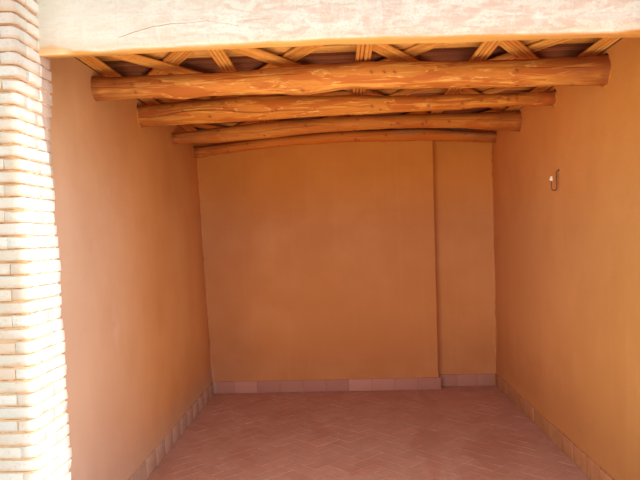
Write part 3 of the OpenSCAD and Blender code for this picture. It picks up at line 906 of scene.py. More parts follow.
# %% Finish: facade plaster, the cracks
# Places along the long crack, and its height there above the lower edge
crack_course = (
    (-1.068, 0.043), (-0.959, 0.076), (-0.888, 0.092), (-0.794, 0.098),
    (-0.645, 0.108), (-0.492, 0.077), (-0.464, 0.103), (-0.306, 0.111),
)
crack_start, crack_run = crack_course[0][0], crack_course[-1][0] - crack_course[0][0]
run = (at_x - crack_start) / crack_run
course = add_node("FloatCurve", {"Value": run})
points = course.mapping.curves[0].points
for _ in crack_course[2:]:
    points.new(0.5, 0.5)
tallest = 0.2
for point, (x, rise) in zip(points, crack_course):
    point.location = ((x - crack_start) / crack_run, rise / tallest)
    point.handle_type = "VECTOR"
course.mapping.update()
climb = Wire(course.outputs[0]) * tallest + lintel_low.z
wander = (fuzz(14.0, 4.0) - 0.5) * 0.014
crack = 1.0 - fade(abs(at_z - (climb + wander)), 0.0006, 0.0021)
fading = 1.0 - fade(run, 0.25, 0.6) * 0.55
crack = crack * (fade(run, 0.0, 0.02) * (fading - fade(run, 0.9, 1.0)))
upright = 1.0 - fade(abs(at_x - crack_start + wander), 0.0005, 0.0020)
crack = sums("MAXIMUM", crack, upright * 0.12)
crack = sums("MAXIMUM", crack, cracked(0.8, 0.0012, 0.18))
colour = blend(crack * 0.95, colour, (0.50, 0.17, 0.060))
show(colour, earth_relief(0.0005, 0.0018) + strokes * 0.0006 - crack * 0.0005)
print("finish:", facade_plaster.name)

# %% [markdown]
# The band is a plastered beam with the parapet on it, and from outside they are one body. Its
# section has a narrow foot under the canes' ends and a wider wall above the roof. The plaster
# hangs a little lower towards both piers, so the lower edge is a very flat arch. A lattice could
# bend it. A few pairs of a place and a measure are easier to read and to correct.

# %% The section of the band, and its sag
parapet_low, parapet_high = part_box("front_parapet")
tongue_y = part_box("reed_mat")[0].y
earth_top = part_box("roof_earth")[1].z
soffit_rise, bearing = 0.014, 0.06
band_end = parapet_high.x + bearing
section = (
    (lintel_low.y, lintel_low.z),
    (lintel_high.y, lintel_low.z + soffit_rise),
    (lintel_high.y, lintel_high.z),
    (tongue_y, lintel_high.z),
    (tongue_y, earth_top),
    (parapet_high.y, earth_top),
    (parapet_high.y, parapet_high.z),
    (parapet_low.y, parapet_high.z),
)
# Places along X, and how far the lower edge hangs there, is bare, or hangs at the rear
sags = (
    (-1.45, 0.030), (-1.25, 0.024), (-1.0, 0.014), (-0.6, 0.008),
    (0.0, 0.0), (0.6, 0.011), (1.1, 0.018), (1.45, 0.022),
)
worn_edge = (
    (-1.42, 0.030), (-1.37, 0.032), (-1.28, 0.008), (-1.15, 0.0), (1.2, 0.0), (1.42, 0.012),
)
rear_sags = ((-0.7, 0.0), (0.1, 0.009), (0.5, 0.013), (1.2, 0.004))


def between(pairs, place):
    """The value at a place between pairs of a place and a value, on straight lines."""
    place = within(place, pairs[0][0], pairs[-1][0])
    for (left, low), (right, high) in zip(pairs, pairs[1:]):
        if place <= right:
            return low + (high - low) * (place - left) / (right - left)


print(f"band: {2 * band_end:.2f} m long")

# %% [markdown]
# The section becomes a face that is pulled along the opening. A curve with a bevel object could
# do the same, but its ends would have to be closed by hand. The edges are rounded before the
# faces are cut small, because each is still one edge then.

# %% The band over the opening
bm = bmesh.new()
pull_out(bm, [(-band_end, y, z) for y, z in section], (2 * band_end, 0, 0))
top_round, foot_round, rear_round = 0.045, 0.016, 0.01
round_off(bm, edges_along(bm, 0, lambda middle: middle.z > parapet_high.z - 0.01), top_round, 4)
round_off(bm, edges_along(bm, 0, lambda middle: middle.z < lintel_low.z + 0.005), foot_round, 4)
at_rear = edges_along(
    bm, 0, lambda middle: middle.z < lintel_low.z + 0.02 and middle.y > lintel_high.y - 0.01
)
round_off(bm, at_rear, rear_round, 2)
cut_evenly(bm, 0, -band_end, band_end, 0.035)
cut_across(bm, 2, [lintel_low.z + rise for rise in (0.021, 0.026, 0.032, 0.042, 0.055, 0.075)])
cut_evenly(bm, 2, lintel_high.z - 0.04, parapet_high.z - 0.04, 0.04)
bare = bm.verts.layers.float.new("bare")
for vert in bm.verts:
    lift = vert.co.z - lintel_low.z
    edge = 0.006 + between(worn_edge, vert.co.x)
    at_front = vert.co.y < lintel_low.y + 0.02
    vert[bare] = within((edge + 0.010 - lift) / 0.020) if at_front else lift < 0.15
    vert.co.z -= between(sags, vert.co.x) * max(0, 1 - lift / 0.12)
    if not at_front and lift < 0.03:
        vert.co.z -= between(rear_sags, vert.co.x)
waves = uneven(5, (0.8, 0.006), (0.2, 0.004), (0.06, 0.0015))
roughen(bm, lambda place: waves(place) - (0.007 if place.z > parapet_high.z - 0.05 else 0))
finish_piece(bm, "front_band", "facade_plaster", facade_plaster, "front_lintel", "front_parapet")

# %% [markdown]
# The logs are poplar poles, peeled with a spade: where the blade ran flat the wood is pale and
# streaked, and between those strokes patches of the red inner bark stay. Both are masks of noise
# stretched along X, the way the logs lie. Knots and the rings of bark at the walls are painted
# on the mesh as vertex attributes, because they sit where the mesh has its bumps. So is a number
# that runs once round the log, from its top by the front: with it the shader darkens the upper
# flanks, with dust and with painted shade, and draws the long crack that the sun opened.

# %% Finish: peeled logs
log_places = [sum(box.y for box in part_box(f"beam_{number}")) / 2 for number in range(1, 5)]
log_wood = new_finish("log_wood", 0.72)
streak, fibre_relief = (fibrous((4, 60, 60), 0.0016, output) for output in ("Streak", "Height"))
colour = blend(streak, (0.51, 0.150, 0.018), (0.60, 0.20, 0.026))
barky = streaks((3.4, 15, 15), 0.47, 0.58, 5.0, 0.5)
colour = blend(barky * 0.75, colour, (0.44, 0.095, 0.010))
# The rear logs are smoother and redder, so the pale flakes fade out towards them
rearward = fade(at_y, log_places[1], log_places[3])
bladed = 1.0 - rearward * 0.7
flaked = 1.0 - fade(abs(barky - 0.35), 0.05, 0.30)
flaked = flaked * streaks((9, 70, 70), 0.46, 0.62, 4.0) * bladed
colour = blend(flaked * 0.75, colour, (0.80, 0.41, 0.105))
peeled = streaks((2.6, 30, 30), 0.51, 0.63, 5.0, 0.7)
colour = blend(peeled * bladed * 0.6, colour, (0.78, 0.345, 0.060))
colour = blend(rearward * 0.75, colour, (0.74, 0.195, 0.018))
at_end = fade(at_x, 0.42, 0.58) * fade(at_y, log_places[2] + 0.1, log_places[3] - 0.2)
around = attribute("round")
scraped = streaks((3, 12, 12), 0.40, 0.58, 4.0) * at_end * (1.0 - fade(around, 0.24, 0.32))
colour = blend(scraped * 0.8, colour, (0.58, 0.25, 0.085))
# The upper flanks are darker, partly with dust and partly with painted shade
dust = fade(abs(around - 0.52), 0.26, 0.44) * streaks((2.2, 8, 8), 0.25, 0.6)
colour = blend(dust * 0.55, colour, (0.26, 0.085, 0.022))
# Splits wander along a line round a quarter of the way round, and the second log has a long one
middle = (fuzz(1.0, 4.0, vector=stretched((1.1, 2, 2))) - 0.5) * 0.30 + 0.25
split = 1.0 - fade(abs(around - middle), 0.001, 0.012)
split = split * mottle(0.7, 0.46, 0.56, stretch=(1, 3, 3))
on_second = fade(abs(at_y - log_places[1]), 0.3, 0.2)
long_split = 1.0 - fade(abs(around - (middle + 0.045)), 0.002, 0.016)
long_split = long_split * (1.0 - fade(at_x, -0.5, 0.1))
split = sums("MAXIMUM", split * 0.7, long_split * on_second)
bark_and_shade_brown = (0.30, 0.085, 0.018)
# Painted shade darkens the logs near both walls
end_shade = fade(abs(at_x), 1.05, 1.38) * streaks((4, 30, 30), 0.25, 0.6)
for share, paint in (
    (split * 0.7, (0.20, 0.045, 0.009)),
    (attribute("knot") * 0.9, (0.15, 0.03, 0.008)),
    (attribute("bark") * 0.7, bark_and_shade_brown),
    (end_shade * 0.6, bark_and_shade_brown),
):
    colour = blend(share, colour, paint)
# Painted shade towards both ends of the logs, and painted light on the second log
for share, glass in (
    (fade(at_x, 0.0, 0.8), (0.88, 0.82, 0.70)),
    (fade(at_x, -0.7, -1.2), (0.88, 0.85, 0.85)),
    (on_second, (1.10, 1.04, 0.86)),
):
    colour = tint(share, colour, glass)
show(colour, fibre_relief + peeled * 0.0016 - split * 0.003)
print("finish:", log_wood.name)

# %% [markdown]
# Four logs carry the roof, each crooked in its own way. Their bend, droop and taper are the
# construction's, so a merged copy of its mesh is refined instead of a new rod: the operator's
# smoothing makes the round finer as it adds faces. Where a branch was cut off, a swelling with
# a sunk dark eye stays.

# %% A finer log, and its knots
log_seed = random.Random(11)


def ring_point(bm, x, angle):
    """A vertex of the log near a place along it and an angle round it."""
    ring = [vert for vert in bm.verts if abs(vert.co.x - x) < 0.03]
    middle = sum((vert.co for vert in ring), Vector()) / len(ring)
    aim = Vector((0, math.cos(angle), math.sin(angle)))
    return max(ring, key=lambda vert: (vert.co - middle).dot(aim)).co.copy()


def refined_log(node):
    """A finer copy of a log of the construction."""
    bm = bmesh.new()
    bm.from_mesh(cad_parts[node].data)
    bmesh.ops.remove_doubles(bm, verts=bm.verts, dist=1e-5)
    bmesh.ops.join_triangles(
        bm, faces=bm.faces,
        angle_face_threshold=math.radians(20), angle_shape_threshold=math.radians(60),
    )
    bmesh.ops.subdivide_edges(bm, edges=bm.edges, cuts=2, smooth=0.6, use_grid_fill=True)
    bmesh.ops.subdivide_edges(bm, edges=edges_along(bm, 0), cuts=2)
    return bm


def add_knot(bm, knot):
    """Raises a swelling with a sunk dark eye at a random place of a log's lower half."""
    x, angle = log_seed.uniform(-1.35, 1.35), math.radians(log_seed.uniform(150, 330))
    eye = ring_point(bm, x, angle)
    size, rise = log_seed.uniform(0.009, 0.018), log_seed.uniform(0.001, 0.005)
    for vert in bm.verts:
        reach = (vert.co - eye).length / size
        if reach < 3:
            swell, sink = math.exp(-(reach * 0.8) ** 2), 0.7 * math.exp(-(reach * 2.5) ** 2)
            vert.co += vert.normal * rise * (swell - sink)
            vert[knot] = max(vert[knot], math.exp(-(reach * 1.6) ** 2))

# %% [markdown]
# Then come the other marks of growth and of the spade: long hollows, small lumps, and a ring of
# bark where the blade didn't reach. Two of the logs also swell below. A noise that is the same in
# all directions would look like clay, so for the hollows it is stretched along the log.

# %% The logs
# For two of the logs: where their underside swells, over what length, and how far
swellings = {
    1: ((-0.98, 0.10, 0.016), (-0.25, 0.11, 0.017), (0.02, 0.09, -0.010)),
    3: ((-1.1, 0.12, 0.007),),
}


def make_log(number):
    """A crooked log with knots, hollows and rings of bark at the walls."""
    node = f"beam_{number}"
    bm = refined_log(node)
    knot, bark, around = (bm.verts.layers.float.new(name) for name in ("knot", "bark", "round"))
    bm.normal_update()
    for vert in bm.verts:
        aside = math.atan2(-vert.normal.y, vert.normal.z) / (2 * math.pi)
        vert[around] = aside % 1 if abs(vert.normal.x) < 0.9 else 0.5
        for x, width, drop in swellings.get(number, ()):
            below = (1 - vert.normal.z) / 2
            vert.co.z -= drop * math.exp(-((vert.co.x - x) / width) ** 2) * below
    lumps = uneven(20 + number, (0.22, 0.0045), (0.07, 0.002))
    hollows = uneven(30 + number, (0.05, 0.0035))
    ragged = uneven(40 + number, (0.03, 1.0))

    def law(place):
        return lumps(place) + hollows(Vector((place.x * 0.16, place.y, place.z)))

    roughen(bm, law, sunk=0.002)
    for _ in range(log_seed.randint(20, 26)):
        add_knot(bm, knot)
    for vert in bm.verts:
        wavy = 0.05 * ragged(Vector((vert.co.x * 0.3, vert.co.y, vert.co.z)))
        from_wall = abs(left_head) - abs(vert.co.x) + wavy
        vert[bark] = within(1 - (from_wall - 0.03) / 0.02)
    finish_piece(bm, f"log_{number}", "log_wood", log_wood, node)


for number in range(1, 5):
    make_log(number)

# %% [markdown]
# The lattice is of giant cane, golden and glossy, with a dark ring at each joint. The mat above it
# is of thin reed, brown from smoke and shade. Both could take one material, but cane shines and
# reed does not, so each has its own, and each rod in them picks its colour by its tone.

# %% Finish: cane and reed
cane = new_finish("cane", 0.55, 0.35)
golden = by_tone((0.56, 0.18, 0.024), (0.70, 0.25, 0.036), (0.80, 0.34, 0.060))
colour = blend(mottle(0.06, 0.5, 0.7, 3.0) * 0.25, golden, (0.42, 0.13, 0.02))
colour = blend(attribute("ring") * 0.3, colour, (0.30, 0.09, 0.02))
show(colour, fibrous((90, 90, 90), 0.0004))

reed = new_finish("reed", 0.7)
brown = by_tone((0.20, 0.052, 0.016), (0.31, 0.088, 0.026), (0.44, 0.145, 0.042))
sooty = mottle(0.35, 0.4, 0.65, 3.0)
show(blend(sooty * 0.5, brown, (0.15, 0.042, 0.020)), fibrous((6, 120, 120), 0.0005))
print("finishes:", cane.name, "and", reed.name)

# %% [markdown]
# A cane is a thin rod with a ring at each joint. The rods could share one mesh, as instances, but
# each real cane swells, bends and ends differently, so each is made on its own, with 8 sides and
# few rings, and takes its own tone.

# %% One cane or reed
cane_seed = random.Random(7)
joint_half, plain_end = 0.012, 0.03


def add_rod(bm, start, end, width, sides, joints, tone, sway):
    """Adds a rod between two points, swollen at its joints, with a tone for its faces."""
    start, run = Vector(start), Vector(end) - Vector(start)
    rod = new_run()
    ring, radius = rod.verts.layers.float.new("ring"), width / 2
    bmesh.ops.create_cone(
        rod, segments=sides, radius1=radius, radius2=radius, depth=1, cap_ends=True
    )
    inside = [place for place in joints if plain_end < place < run.length - plain_end]
    stations = [place + shift for place in inside for shift in (-joint_half, 0.0, joint_half)]
    if stations:
        bmesh.ops.subdivide_edges(rod, edges=edges_along(rod, 2), cuts=len(stations))
    turn = run.to_track_quat("Z", "Y")
    bend = Vector((cane_seed.uniform(-1, 1), cane_seed.uniform(-1, 1), 0)) * sway
    spin = Matrix.Rotation(cane_seed.uniform(0, 1), 3, "Z")
    heights = [0.0, *stations, run.length]
    for vert in rod.verts:
        level = round((vert.co.z + 0.5) * (len(heights) - 1))
        at_joint = 0 < level < len(heights) - 1 and level % 3 == 2
        side = spin @ Vector((vert.co.x, vert.co.y, 0)) * (1.13 if at_joint else 1.0)
        swing = math.sin(heights[level] / run.length * math.pi * 2)
        vert.co = start + turn @ (side + bend * swing + Vector((0, 0, heights[level])))
        vert[ring] = 1.0 if at_joint else 0.0
    set_tone(rod, rod.faces, tone)
    merge_in(bm, rod)


def cane_joints(length):
    """Places of a cane's joints, a hand or two apart."""
    places, place = [], cane_seed.uniform(0.05, 0.3)
    while place < length:
        places.append(place)
        place += cane_seed.uniform(0.2, 0.36)
    return places

# %% [markdown]
# The canes lie in flat bundles, like ribbons, and every bundle ends at the lattice's edges. A
# boolean could trim them. It is simpler to work out beforehand where the line of each cane meets
# the edges, and to leave out what would be a stump.

# %% A bundle of canes
cane_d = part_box("cane_runs")[1].z - ceiling_z
cane_end_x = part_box("cane_crosses")[1].x
cane_back_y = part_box("cane_runs")[1].y
shortest_cane = 0.25


def add_ribbon(bm, middle, direction, count, gap, level):
    """Adds a flat bundle of canes through a point, cut off at the lattice's edges."""
    direction = Vector(direction).normalized()
    across = Vector((-direction.y, direction.x, 0))
    for number in range(count):
        foot = Vector(middle) + across * (number - (count - 1) / 2) * gap
        ends = []
        for way in (-1, 1):
            reach = 9.0
            for axis, low, high in ((0, -cane_end_x, cane_end_x), (1, tongue_y, cane_back_y)):
                if abs(direction[axis]) > 1e-6:
                    edge = high if direction[axis] * way > 0 else low
                    reach = min(reach, (edge - foot[axis]) / (direction[axis] * way))
            ends.append(foot + direction * way * reach)
        length = (ends[1] - ends[0]).dot(direction)
        if length < shortest_cane:
            continue
        width = cane_d * cane_seed.uniform(0.90, 0.99)
        for end in ends:
            end.z = ceiling_z + cane_d * (level + 1) - width / 2
        tone = cane_seed.uniform(0.15, 0.95)
        add_rod(bm, *ends, width, 8, cane_joints(length), tone, 0.003)

print(f"cane: {cane_d * 1000:.0f} mm thick")

# %% [markdown]
# Over the logs lie four layers of bundles: first runs from front to back, then two layers that
# cross them aslant, then bundles from side to side. An array could space them evenly. The runs
# are placed one by one, because no two of their gaps are alike.

# %% The cane lattice
crossing_y, crossing_x, crossing_step = room_y + 0.860, 0.3625, 0.615
cross_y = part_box("cane_crosses")[0].y + 2.5 * cane_d
run_places = (-1.450, -0.715, 0.107, 0.803, 1.450)
run_gap, ribbon_gap = 0.0245, 0.0228


def lay_canes(node, count, gap, level, middles, direction):
    """A layer of the lattice: a bundle of canes through each middle, in one direction."""
    bm = new_run()
    bm.verts.layers.float.new("ring")
    for middle in middles:
        add_ribbon(bm, (*middle, 0), (*direction, 0), count, gap, level)
    finish_piece(bm, node + "_made", "cane", cane, node)


lay_canes("cane_runs", 4, run_gap, 0, [(x, 0) for x in run_places], (0, 1))
for hand, level, node in ((1, 1, "cane_diagonals_right"), (-1, 2, "cane_diagonals_left")):
    middles = [(hand * crossing_x * (2 * number - 3), crossing_y) for number in range(-2, 5)]
    lay_canes(node, 5, ribbon_gap, level, middles, (hand * crossing_x, crossing_step))
middles = [(0, cross_y + crossing_step * number) for number in range(6)]
lay_canes("cane_crosses", 5, ribbon_gap, 3, middles, (1, 0))

# %% [markdown]
# A mat of thin reeds closes the ceiling and keeps the earth of the roof out. From below it is
# seen only in the gaps, as fine dark lines from wall to wall, so each reed has five sides and a
# single soft bend.

# %% The reed mat
mat_low, mat_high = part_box("reed_mat")
reed_pitch = 0.0118
bm = new_run()
for number in range(round((mat_high.y - mat_low.y) / reed_pitch)):
    y = mat_low.y + (number + 0.5) * reed_pitch
    width = reed_pitch * cane_seed.uniform(0.95, 1.2)
    z = mat_low.z + width / 2 + cane_seed.uniform(0, 0.004)
    shift = cane_seed.uniform(-0.002, 0.002)
    joints = [place + cane_seed.uniform(-0.3, 0.3) for place in (0.8, 2.2)]
    ends = (mat_low.x, y - shift, z), (mat_high.x, y + shift, z)
    add_rod(bm, *ends, width, 5, joints, cane_seed.random(), 0.0015)
keep_within(bm, y=(mat_low.y, mat_high.y), z=(mat_low.z, mat_high.z))
finish_piece(bm, "reed_mat_made", "reed", reed, "reed_mat")

# %% [markdown]
# The piers are laid of thin hand-made bricks in clay, and a wash of lime has paled them; their
# inner faces are paler still, with thicker lime and painted sunlight. The bricks are worn as round
# as loaves, so from a joint only a thin dark line is seen, a painted shadow, and their lower edges
# show orange, partly where the wash has run off and partly as painted warm shade. Bump could fake
# the joints from the front, but the pier's edge would stay a straight line, and it is the edge that
# shows against the dark room.

# %% Finish: pier brick and joint clay
course_count = 57
pier_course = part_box("right_pier")[1].z / course_count
pier_brick = new_finish("pier_brick", 0.88)
baked = by_tone((0.90, 0.71, 0.53), (0.93, 0.82, 0.66), (0.95, 0.91, 0.80))
from_front = at_y - cad_low.y
in_reveal = fade(from_front, 0.010, 0.035)
# The inner face is painted paler, with lime and painted sunlight
limed_and_sunlit = sums("MAXIMUM", mottle(0.12, 0.42, 0.62, 4.0) * 0.6, in_reveal * 0.85)
colour = blend(limed_and_sunlit, baked, (0.95, 0.92, 0.82))
# Painted shade: the front face is rosy towards the top
rosy = fade(at_z, 2.25, 2.75) * (1.0 - in_reveal)
colour = blend(rosy * 0.5, colour, (0.90, 0.64, 0.50))
# Each course is orange from its lower edge upwards, partly washed off and partly painted warm
# shade under its round edge, less on the inner face below the top, with its lime and painted
# sunlight
up_course = sums("FRACT", at_z / pier_course) + (fuzz(16.0, 4.0) - 0.5) * 0.5
washed_off_and_shade = 1.0 - fade(up_course, 0.04, 0.42)
lime_and_sunlight = fade(from_front, 0.02, 0.12) * (1.0 - fade(at_z, 1.6, 2.6))
colour = blend(washed_off_and_shade * (0.8 - lime_and_sunlight * 0.7), colour, (0.89, 0.57, 0.31))
pits = mottle(0.012, 0.62, 0.70)
colour = blend(pits * 0.2, colour, (0.72, 0.50, 0.34))
# At the rear of the inner face the lintel's shadow is painted, a strip that is wider the higher up
below = sums("MAXIMUM", 0.0, floor_z + 2.30 - at_z)
lintel_shadow = fade(from_front - (below * 0.22 + 0.227), 0.0, 0.01)
colour = blend(lintel_shadow * 0.9, colour, (0.58, 0.41, 0.31))
colour = dusted_up(colour, (0.62, 0.47, 0.36), 0.35, 0.6)
show(colour, earth_relief(0.0007, 0.0012) - pits * 0.0012)

joint_clay = new_finish("joint_clay", 0.95)
colour = clouded((0.84, 0.54, 0.28), (0.72, 0.40, 0.18), 0.12)
# In the inner face the clay is paler, with lime and painted sunlight
in_reveal = fade(at_y, cad_low.y + 0.02, cad_low.y + 0.10)
lime_and_sunlight = 0.9 - fade(at_z, 1.5, 2.6) * 0.6
colour = blend(in_reveal * lime_and_sunlight, colour, (0.93, 0.87, 0.76))
# Painted light: lower down the clay is lighter in its recess
low_down = 1.0 - fade(at_z, 1.0, 1.9)
colour = blend(low_down * 0.7, colour, (0.95, 0.70, 0.44))
# Painted shade darkens the clay near the top
colour = blend(fade(at_z, 2.25, 2.75) * 0.55, colour, (0.64, 0.36, 0.26))
# A dark, broken line in each joint, a painted shadow under each brick
courses = at_z / pier_course + fuzz(22.0, 4.0) * 0.12
from_joint = abs(sums("FRACT", courses + 0.42) - 0.5)
gap = (1.0 - fade(from_joint, 0.015, 0.045)) * mottle(0.05, 0.42, 0.56, 4.0)
colour = blend(gap * 0.8, colour, (0.34, 0.15, 0.10))
show(colour, earth_relief(0.0012, 0.002))
print("finishes:", pier_brick.name, "and", joint_clay.name)

# %% [markdown]
# The inner face of a pier leans outwards as it rises, and isn't quite straight, because it was
# built by eye. It could be one slanting plane. A list of heights lets the bricks' ends follow the
# real line, and the clay behind them too.

# %% The measures of the piers
pier_low, pier_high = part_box("right_pier")
brick_long, brick_wide, brick_thick, joint = 0.220, 0.110, 0.052, 0.001
crisp, edge_worn, corner_worn = 0.003, 0.013, 0.032
clay_sunk, clay_round, clay_step = 0.013, 0.034, 0.03
pier_foot, pier_head = pier_low.x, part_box("front_parapet")[1].x
pier_seed = random.Random(5)
# How far the inner faces stand in front of a straight line, at heights above the ground
pier_waves = (
    (0.0, 0.012), (0.6, 0.012), (1.1, 0.008), (1.6, 0.005), (1.8, -0.003),
    (2.2, -0.007), (2.4, 0.010), (2.6, 0.016), (3.3, 0.012),
)


def pier_face(z):
    """X of the right pier's inner face at a height."""
    return pier_foot + (pier_head - pier_foot) * z / pier_high.z

print(f"pier: {course_count} courses of {pier_course * 1000:.0f} mm")

# %% [markdown]
# An array of one brick would be light, but here every brick is cut, worn and laid a little
# differently. Where a brick stands at a corner of the pier it is worn rounder, and only the
# bricks that show get the finer faces.

# %% One brick of a pier
def lay(bm, span_x, span_y, z, corners, seen):
    """Lays one brick, a little askew. Corners are the X of those of its upright front edges that
    are at a corner of the pier, and seen says that a long face of it shows."""
    (x0, x1), (y0, y1) = span_x, span_y
    half = Vector((x1 - x0, y1 - y0, brick_thick - pier_seed.uniform(0, 0.006))) / 2
    brick = new_run()
    slab(brick, -half, half)
    ends = [x - (x0 + x1) / 2 for x in corners]

    def worn(middle):
        return middle.y < 0.001 - half.y and any(abs(middle.x - x) < 0.001 for x in ends)

    round_off(brick, edges_along(brick, 2, lambda middle: not worn(middle)), crisp, 1)
    if ends:
        round_off(brick, edges_along(brick, 2, worn), corner_worn, 3)
    level = [e for e in brick.edges if abs(e.verts[0].co.z - e.verts[1].co.z) < 1e-6]
    round_off(brick, level, edge_worn, 3 if seen else 1)
    if seen:
        cut_evenly(brick, 1, -half.y, half.y, 0.055)
    set_tone(brick, brick.faces, pier_seed.random())
    middle_z = z + brick_thick / 2 + pier_seed.uniform(-0.002, 0.002)
    laid = Matrix.Translation(((x0 + x1) / 2, (y0 + y1) / 2, middle_z))
    for axis in "XYZ":
        laid = laid @ Matrix.Rotation(math.radians(pier_seed.uniform(-0.6, 0.6)), 4, axis)
    bmesh.ops.transform(brick, matrix=laid, verts=brick.verts)
    merge_in(bm, brick)

# %% [markdown]
# A pier is one and a half bricks wide and deep. The courses take turns: in one the long bricks
# lie in front and the short ends show behind, in the next it is the other way round, so that no
# upright joint runs through. Two template courses could be stacked in turn, but the lean would
# break them.

# %% The courses of a pier
def course_rows(number, inner):
    """The two rows of a course: where each starts and ends in Y, and its bricks' ends in X."""
    front, rear, outer = pier_low.y, pier_high.y, pier_high.x
    halves = (inner, (outer + inner) / 2, outer)
    if number % 2 == 0:
        seam, quarters = front + brick_wide, [inner + (outer - inner) * i / 4 for i in range(5)]
        return (front, seam, halves), (seam + joint, rear, quarters)
    first, seam = inner + 0.070 + pier_seed.uniform(-0.004, 0.004), front + brick_long
    thirds = (inner, first + joint / 2, first + brick_long + joint, outer)
    return (front, seam, thirds), (seam + joint, rear, halves)


def lay_bricks(side, node):
    """The bricks of a pier. Side is 1 at the right, -1 at the left."""
    bm = new_run()
    for number in range(course_count):
        z = number * pier_course + (pier_course - brick_thick) / 2
        straight = pier_face(z + brick_thick / 2) - between(pier_waves, z)
        for y0, y1, ends in course_rows(number, straight + pier_seed.uniform(-0.003, 0.005)):
            last, in_front = len(ends) - 2, y0 == pier_low.y
            for i in range(last + 1):
                x0 = ends[i] + (joint / 2 if i else 0)
                x1 = ends[i + 1] - (joint / 2 if i < last else 0)
                out = pier_seed.uniform(0, 0.004)
                span_y = (y0 + out if in_front else y0), y1
                corners = [side * x for x, at in ((x0, 0), (x1, last)) if i == at and in_front]
                lay(bm, sorted((side * x0, side * x1)), span_y, z, corners, i == 0 or in_front)
    roughen(bm, uneven(50 + side, (0.08, 0.008), (0.025, 0.004)), sunk=0.001)
    wide = (-pier_high.x, pier_high.x)
    keep_within(bm, x=wide, y=(pier_low.y, math.inf), z=(0, pier_high.z))
    finish_piece(bm, node + "_bricks", "pier_brick", pier_brick, node)

# %% [markdown]
# The joints could be filled one by one. A single block of clay inside the bricks fills them all,
# a little behind their faces, and its own unevenness lets it come forward in one place and fall
# back in the next.

# %% The brick piers
def fill_joints(side, node):
    """The block of clay inside a pier's bricks, which follows the inner face."""
    bm = bmesh.new()
    front, rear = pier_low.y, pier_high.y
    inner_x, outer_x = side * (pier_face(0) + clay_sunk), side * (pier_high.x - clay_sunk)
    low_x, high_x = sorted((inner_x, outer_x))
    low, high = (low_x, front + clay_sunk, 0.001), (high_x, rear - 0.004, pier_high.z - 0.012)
    slab(bm, low, high)
    round_off(bm, edges_along(bm, 2, lambda middle: middle.y < front + 0.02), clay_round, 3)
    cut_evenly(bm, 2, 0, pier_high.z, pier_course / 2)
    cut_evenly(bm, 0, low_x, high_x, clay_step)
    cut_evenly(bm, 1, front, rear, clay_step)
    for vert in bm.verts:
        inwards = (outer_x - vert.co.x) / (outer_x - inner_x)
        leaning = pier_face(vert.co.z) - pier_face(0) - between(pier_waves, vert.co.z)
        vert.co.x += side * inwards * leaning
    roughen(bm, uneven(60 + side, (0.035, 0.0035)))
    keep_within(bm, z=(0, pier_high.z))
    finish_piece(bm, node + "_joints", "pier_brick", joint_clay, node)


for side, node in ((-1, "left_pier"), (1, "right_pier")):
    lay_bricks(side, node)
    fill_joints(side, node)

# %% [markdown]
# The floor is of the same hand-made bricks, laid flat in a herringbone that runs aslant through
# the room, and worn to one dusty red-brown. An image of bricks would be quick. Real bricks in
# mesh give joints that catch the light at a low angle, and each is tilted and toned a little.
# Brick and sand are both paler in the rear half, where fewer feet go.

# %% Finish: floor brick and its sand
pale_glass = (1.22, 1.25, 1.28)
floor_brick = new_finish("floor_brick", 0.85)
red = by_tone((0.375, 0.170, 0.115), (0.395, 0.183, 0.126), (0.415, 0.196, 0.136))
colour = blend(mottle(0.5, 0.38, 0.62, 4.0) * 0.6, red, (0.41, 0.205, 0.148))
scuffed = streaks((3, 1.4, 1), 0.52, 0.66, 5.0, 0.6)
colour = blend(scuffed * 0.55, colour, (0.34, 0.125, 0.078))
dusted = mottle(0.09, 0.40, 0.62, 5.0, 0.8)
colour = blend(dusted * 0.30, colour, (0.30, 0.140, 0.105))
colour = tint(fade(at_y, room_y + 0.6, lining_y), colour, pale_glass)
specks = mottle(0.02, 0.68, 0.72)
colour = blend(specks * 0.25, colour, (0.18, 0.07, 0.045))
show(colour, earth_relief(0.0005, 0.0010))

floor_sand = new_finish("floor_sand", 0.95)
colour = clouded((0.40, 0.185, 0.130), (0.36, 0.160, 0.108), 0.35)
swept = 1.0 - fade(at_y, room_y + 0.4, room_y + 1.7)
colour = blend(swept * 0.6, colour, (0.46, 0.24, 0.175))
colour = tint(fade(at_y, room_y + 0.6, lining_y), colour, pale_glass)
show(colour, earth_relief(0.0008, 0.001))
print("finishes:", floor_brick.name, "and", floor_sand.name)

# %% [markdown]
# A paving brick is a flat box whose upper edges are worn. It could be cut from the floor's own
# slab with grooves, but then none could tilt. One template is made here, a joint narrower than
# the two cells of the pattern that it covers.

# %% One paving brick
floor_low, floor_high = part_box("floor_paving")
cell, floor_joint, floor_round = 0.11, 0.0035, 0.0015
floor_seed = random.Random(3)


def edges_above(bm, height, end=min):
    """The edges of which the lower end, or with max the upper end, is above a height."""
    return [edge for edge in bm.edges if end(vert.co.z for vert in edge.verts) > height]


def paving_brick(bm):
    """A brick two cells long, with worn upper edges, centred on its cells."""
    half = Vector((cell - floor_joint / 2, (cell - floor_joint) / 2))
    slab(bm, (-half.x, -half.y, floor_low.z + 0.001), (half.x, half.y, floor_high.z))
    round_off(bm, edges_above(bm, floor_high.z - 1e-6), floor_round, 1)

print(f"paving brick: {2 * cell:.2f} by {cell:.2f} m with its joints")

# %% [markdown]
# In a herringbone each brick covers two cells of a square grid. Of every four cells in a row one
# starts a lying brick and one an upright one. A modifier could repeat a block of them. A loop
# over the cells can also tilt and sink every brick by itself. The pattern is laid wider than the
# room and cut off at its edges with four planes, as a mason cuts the last bricks.

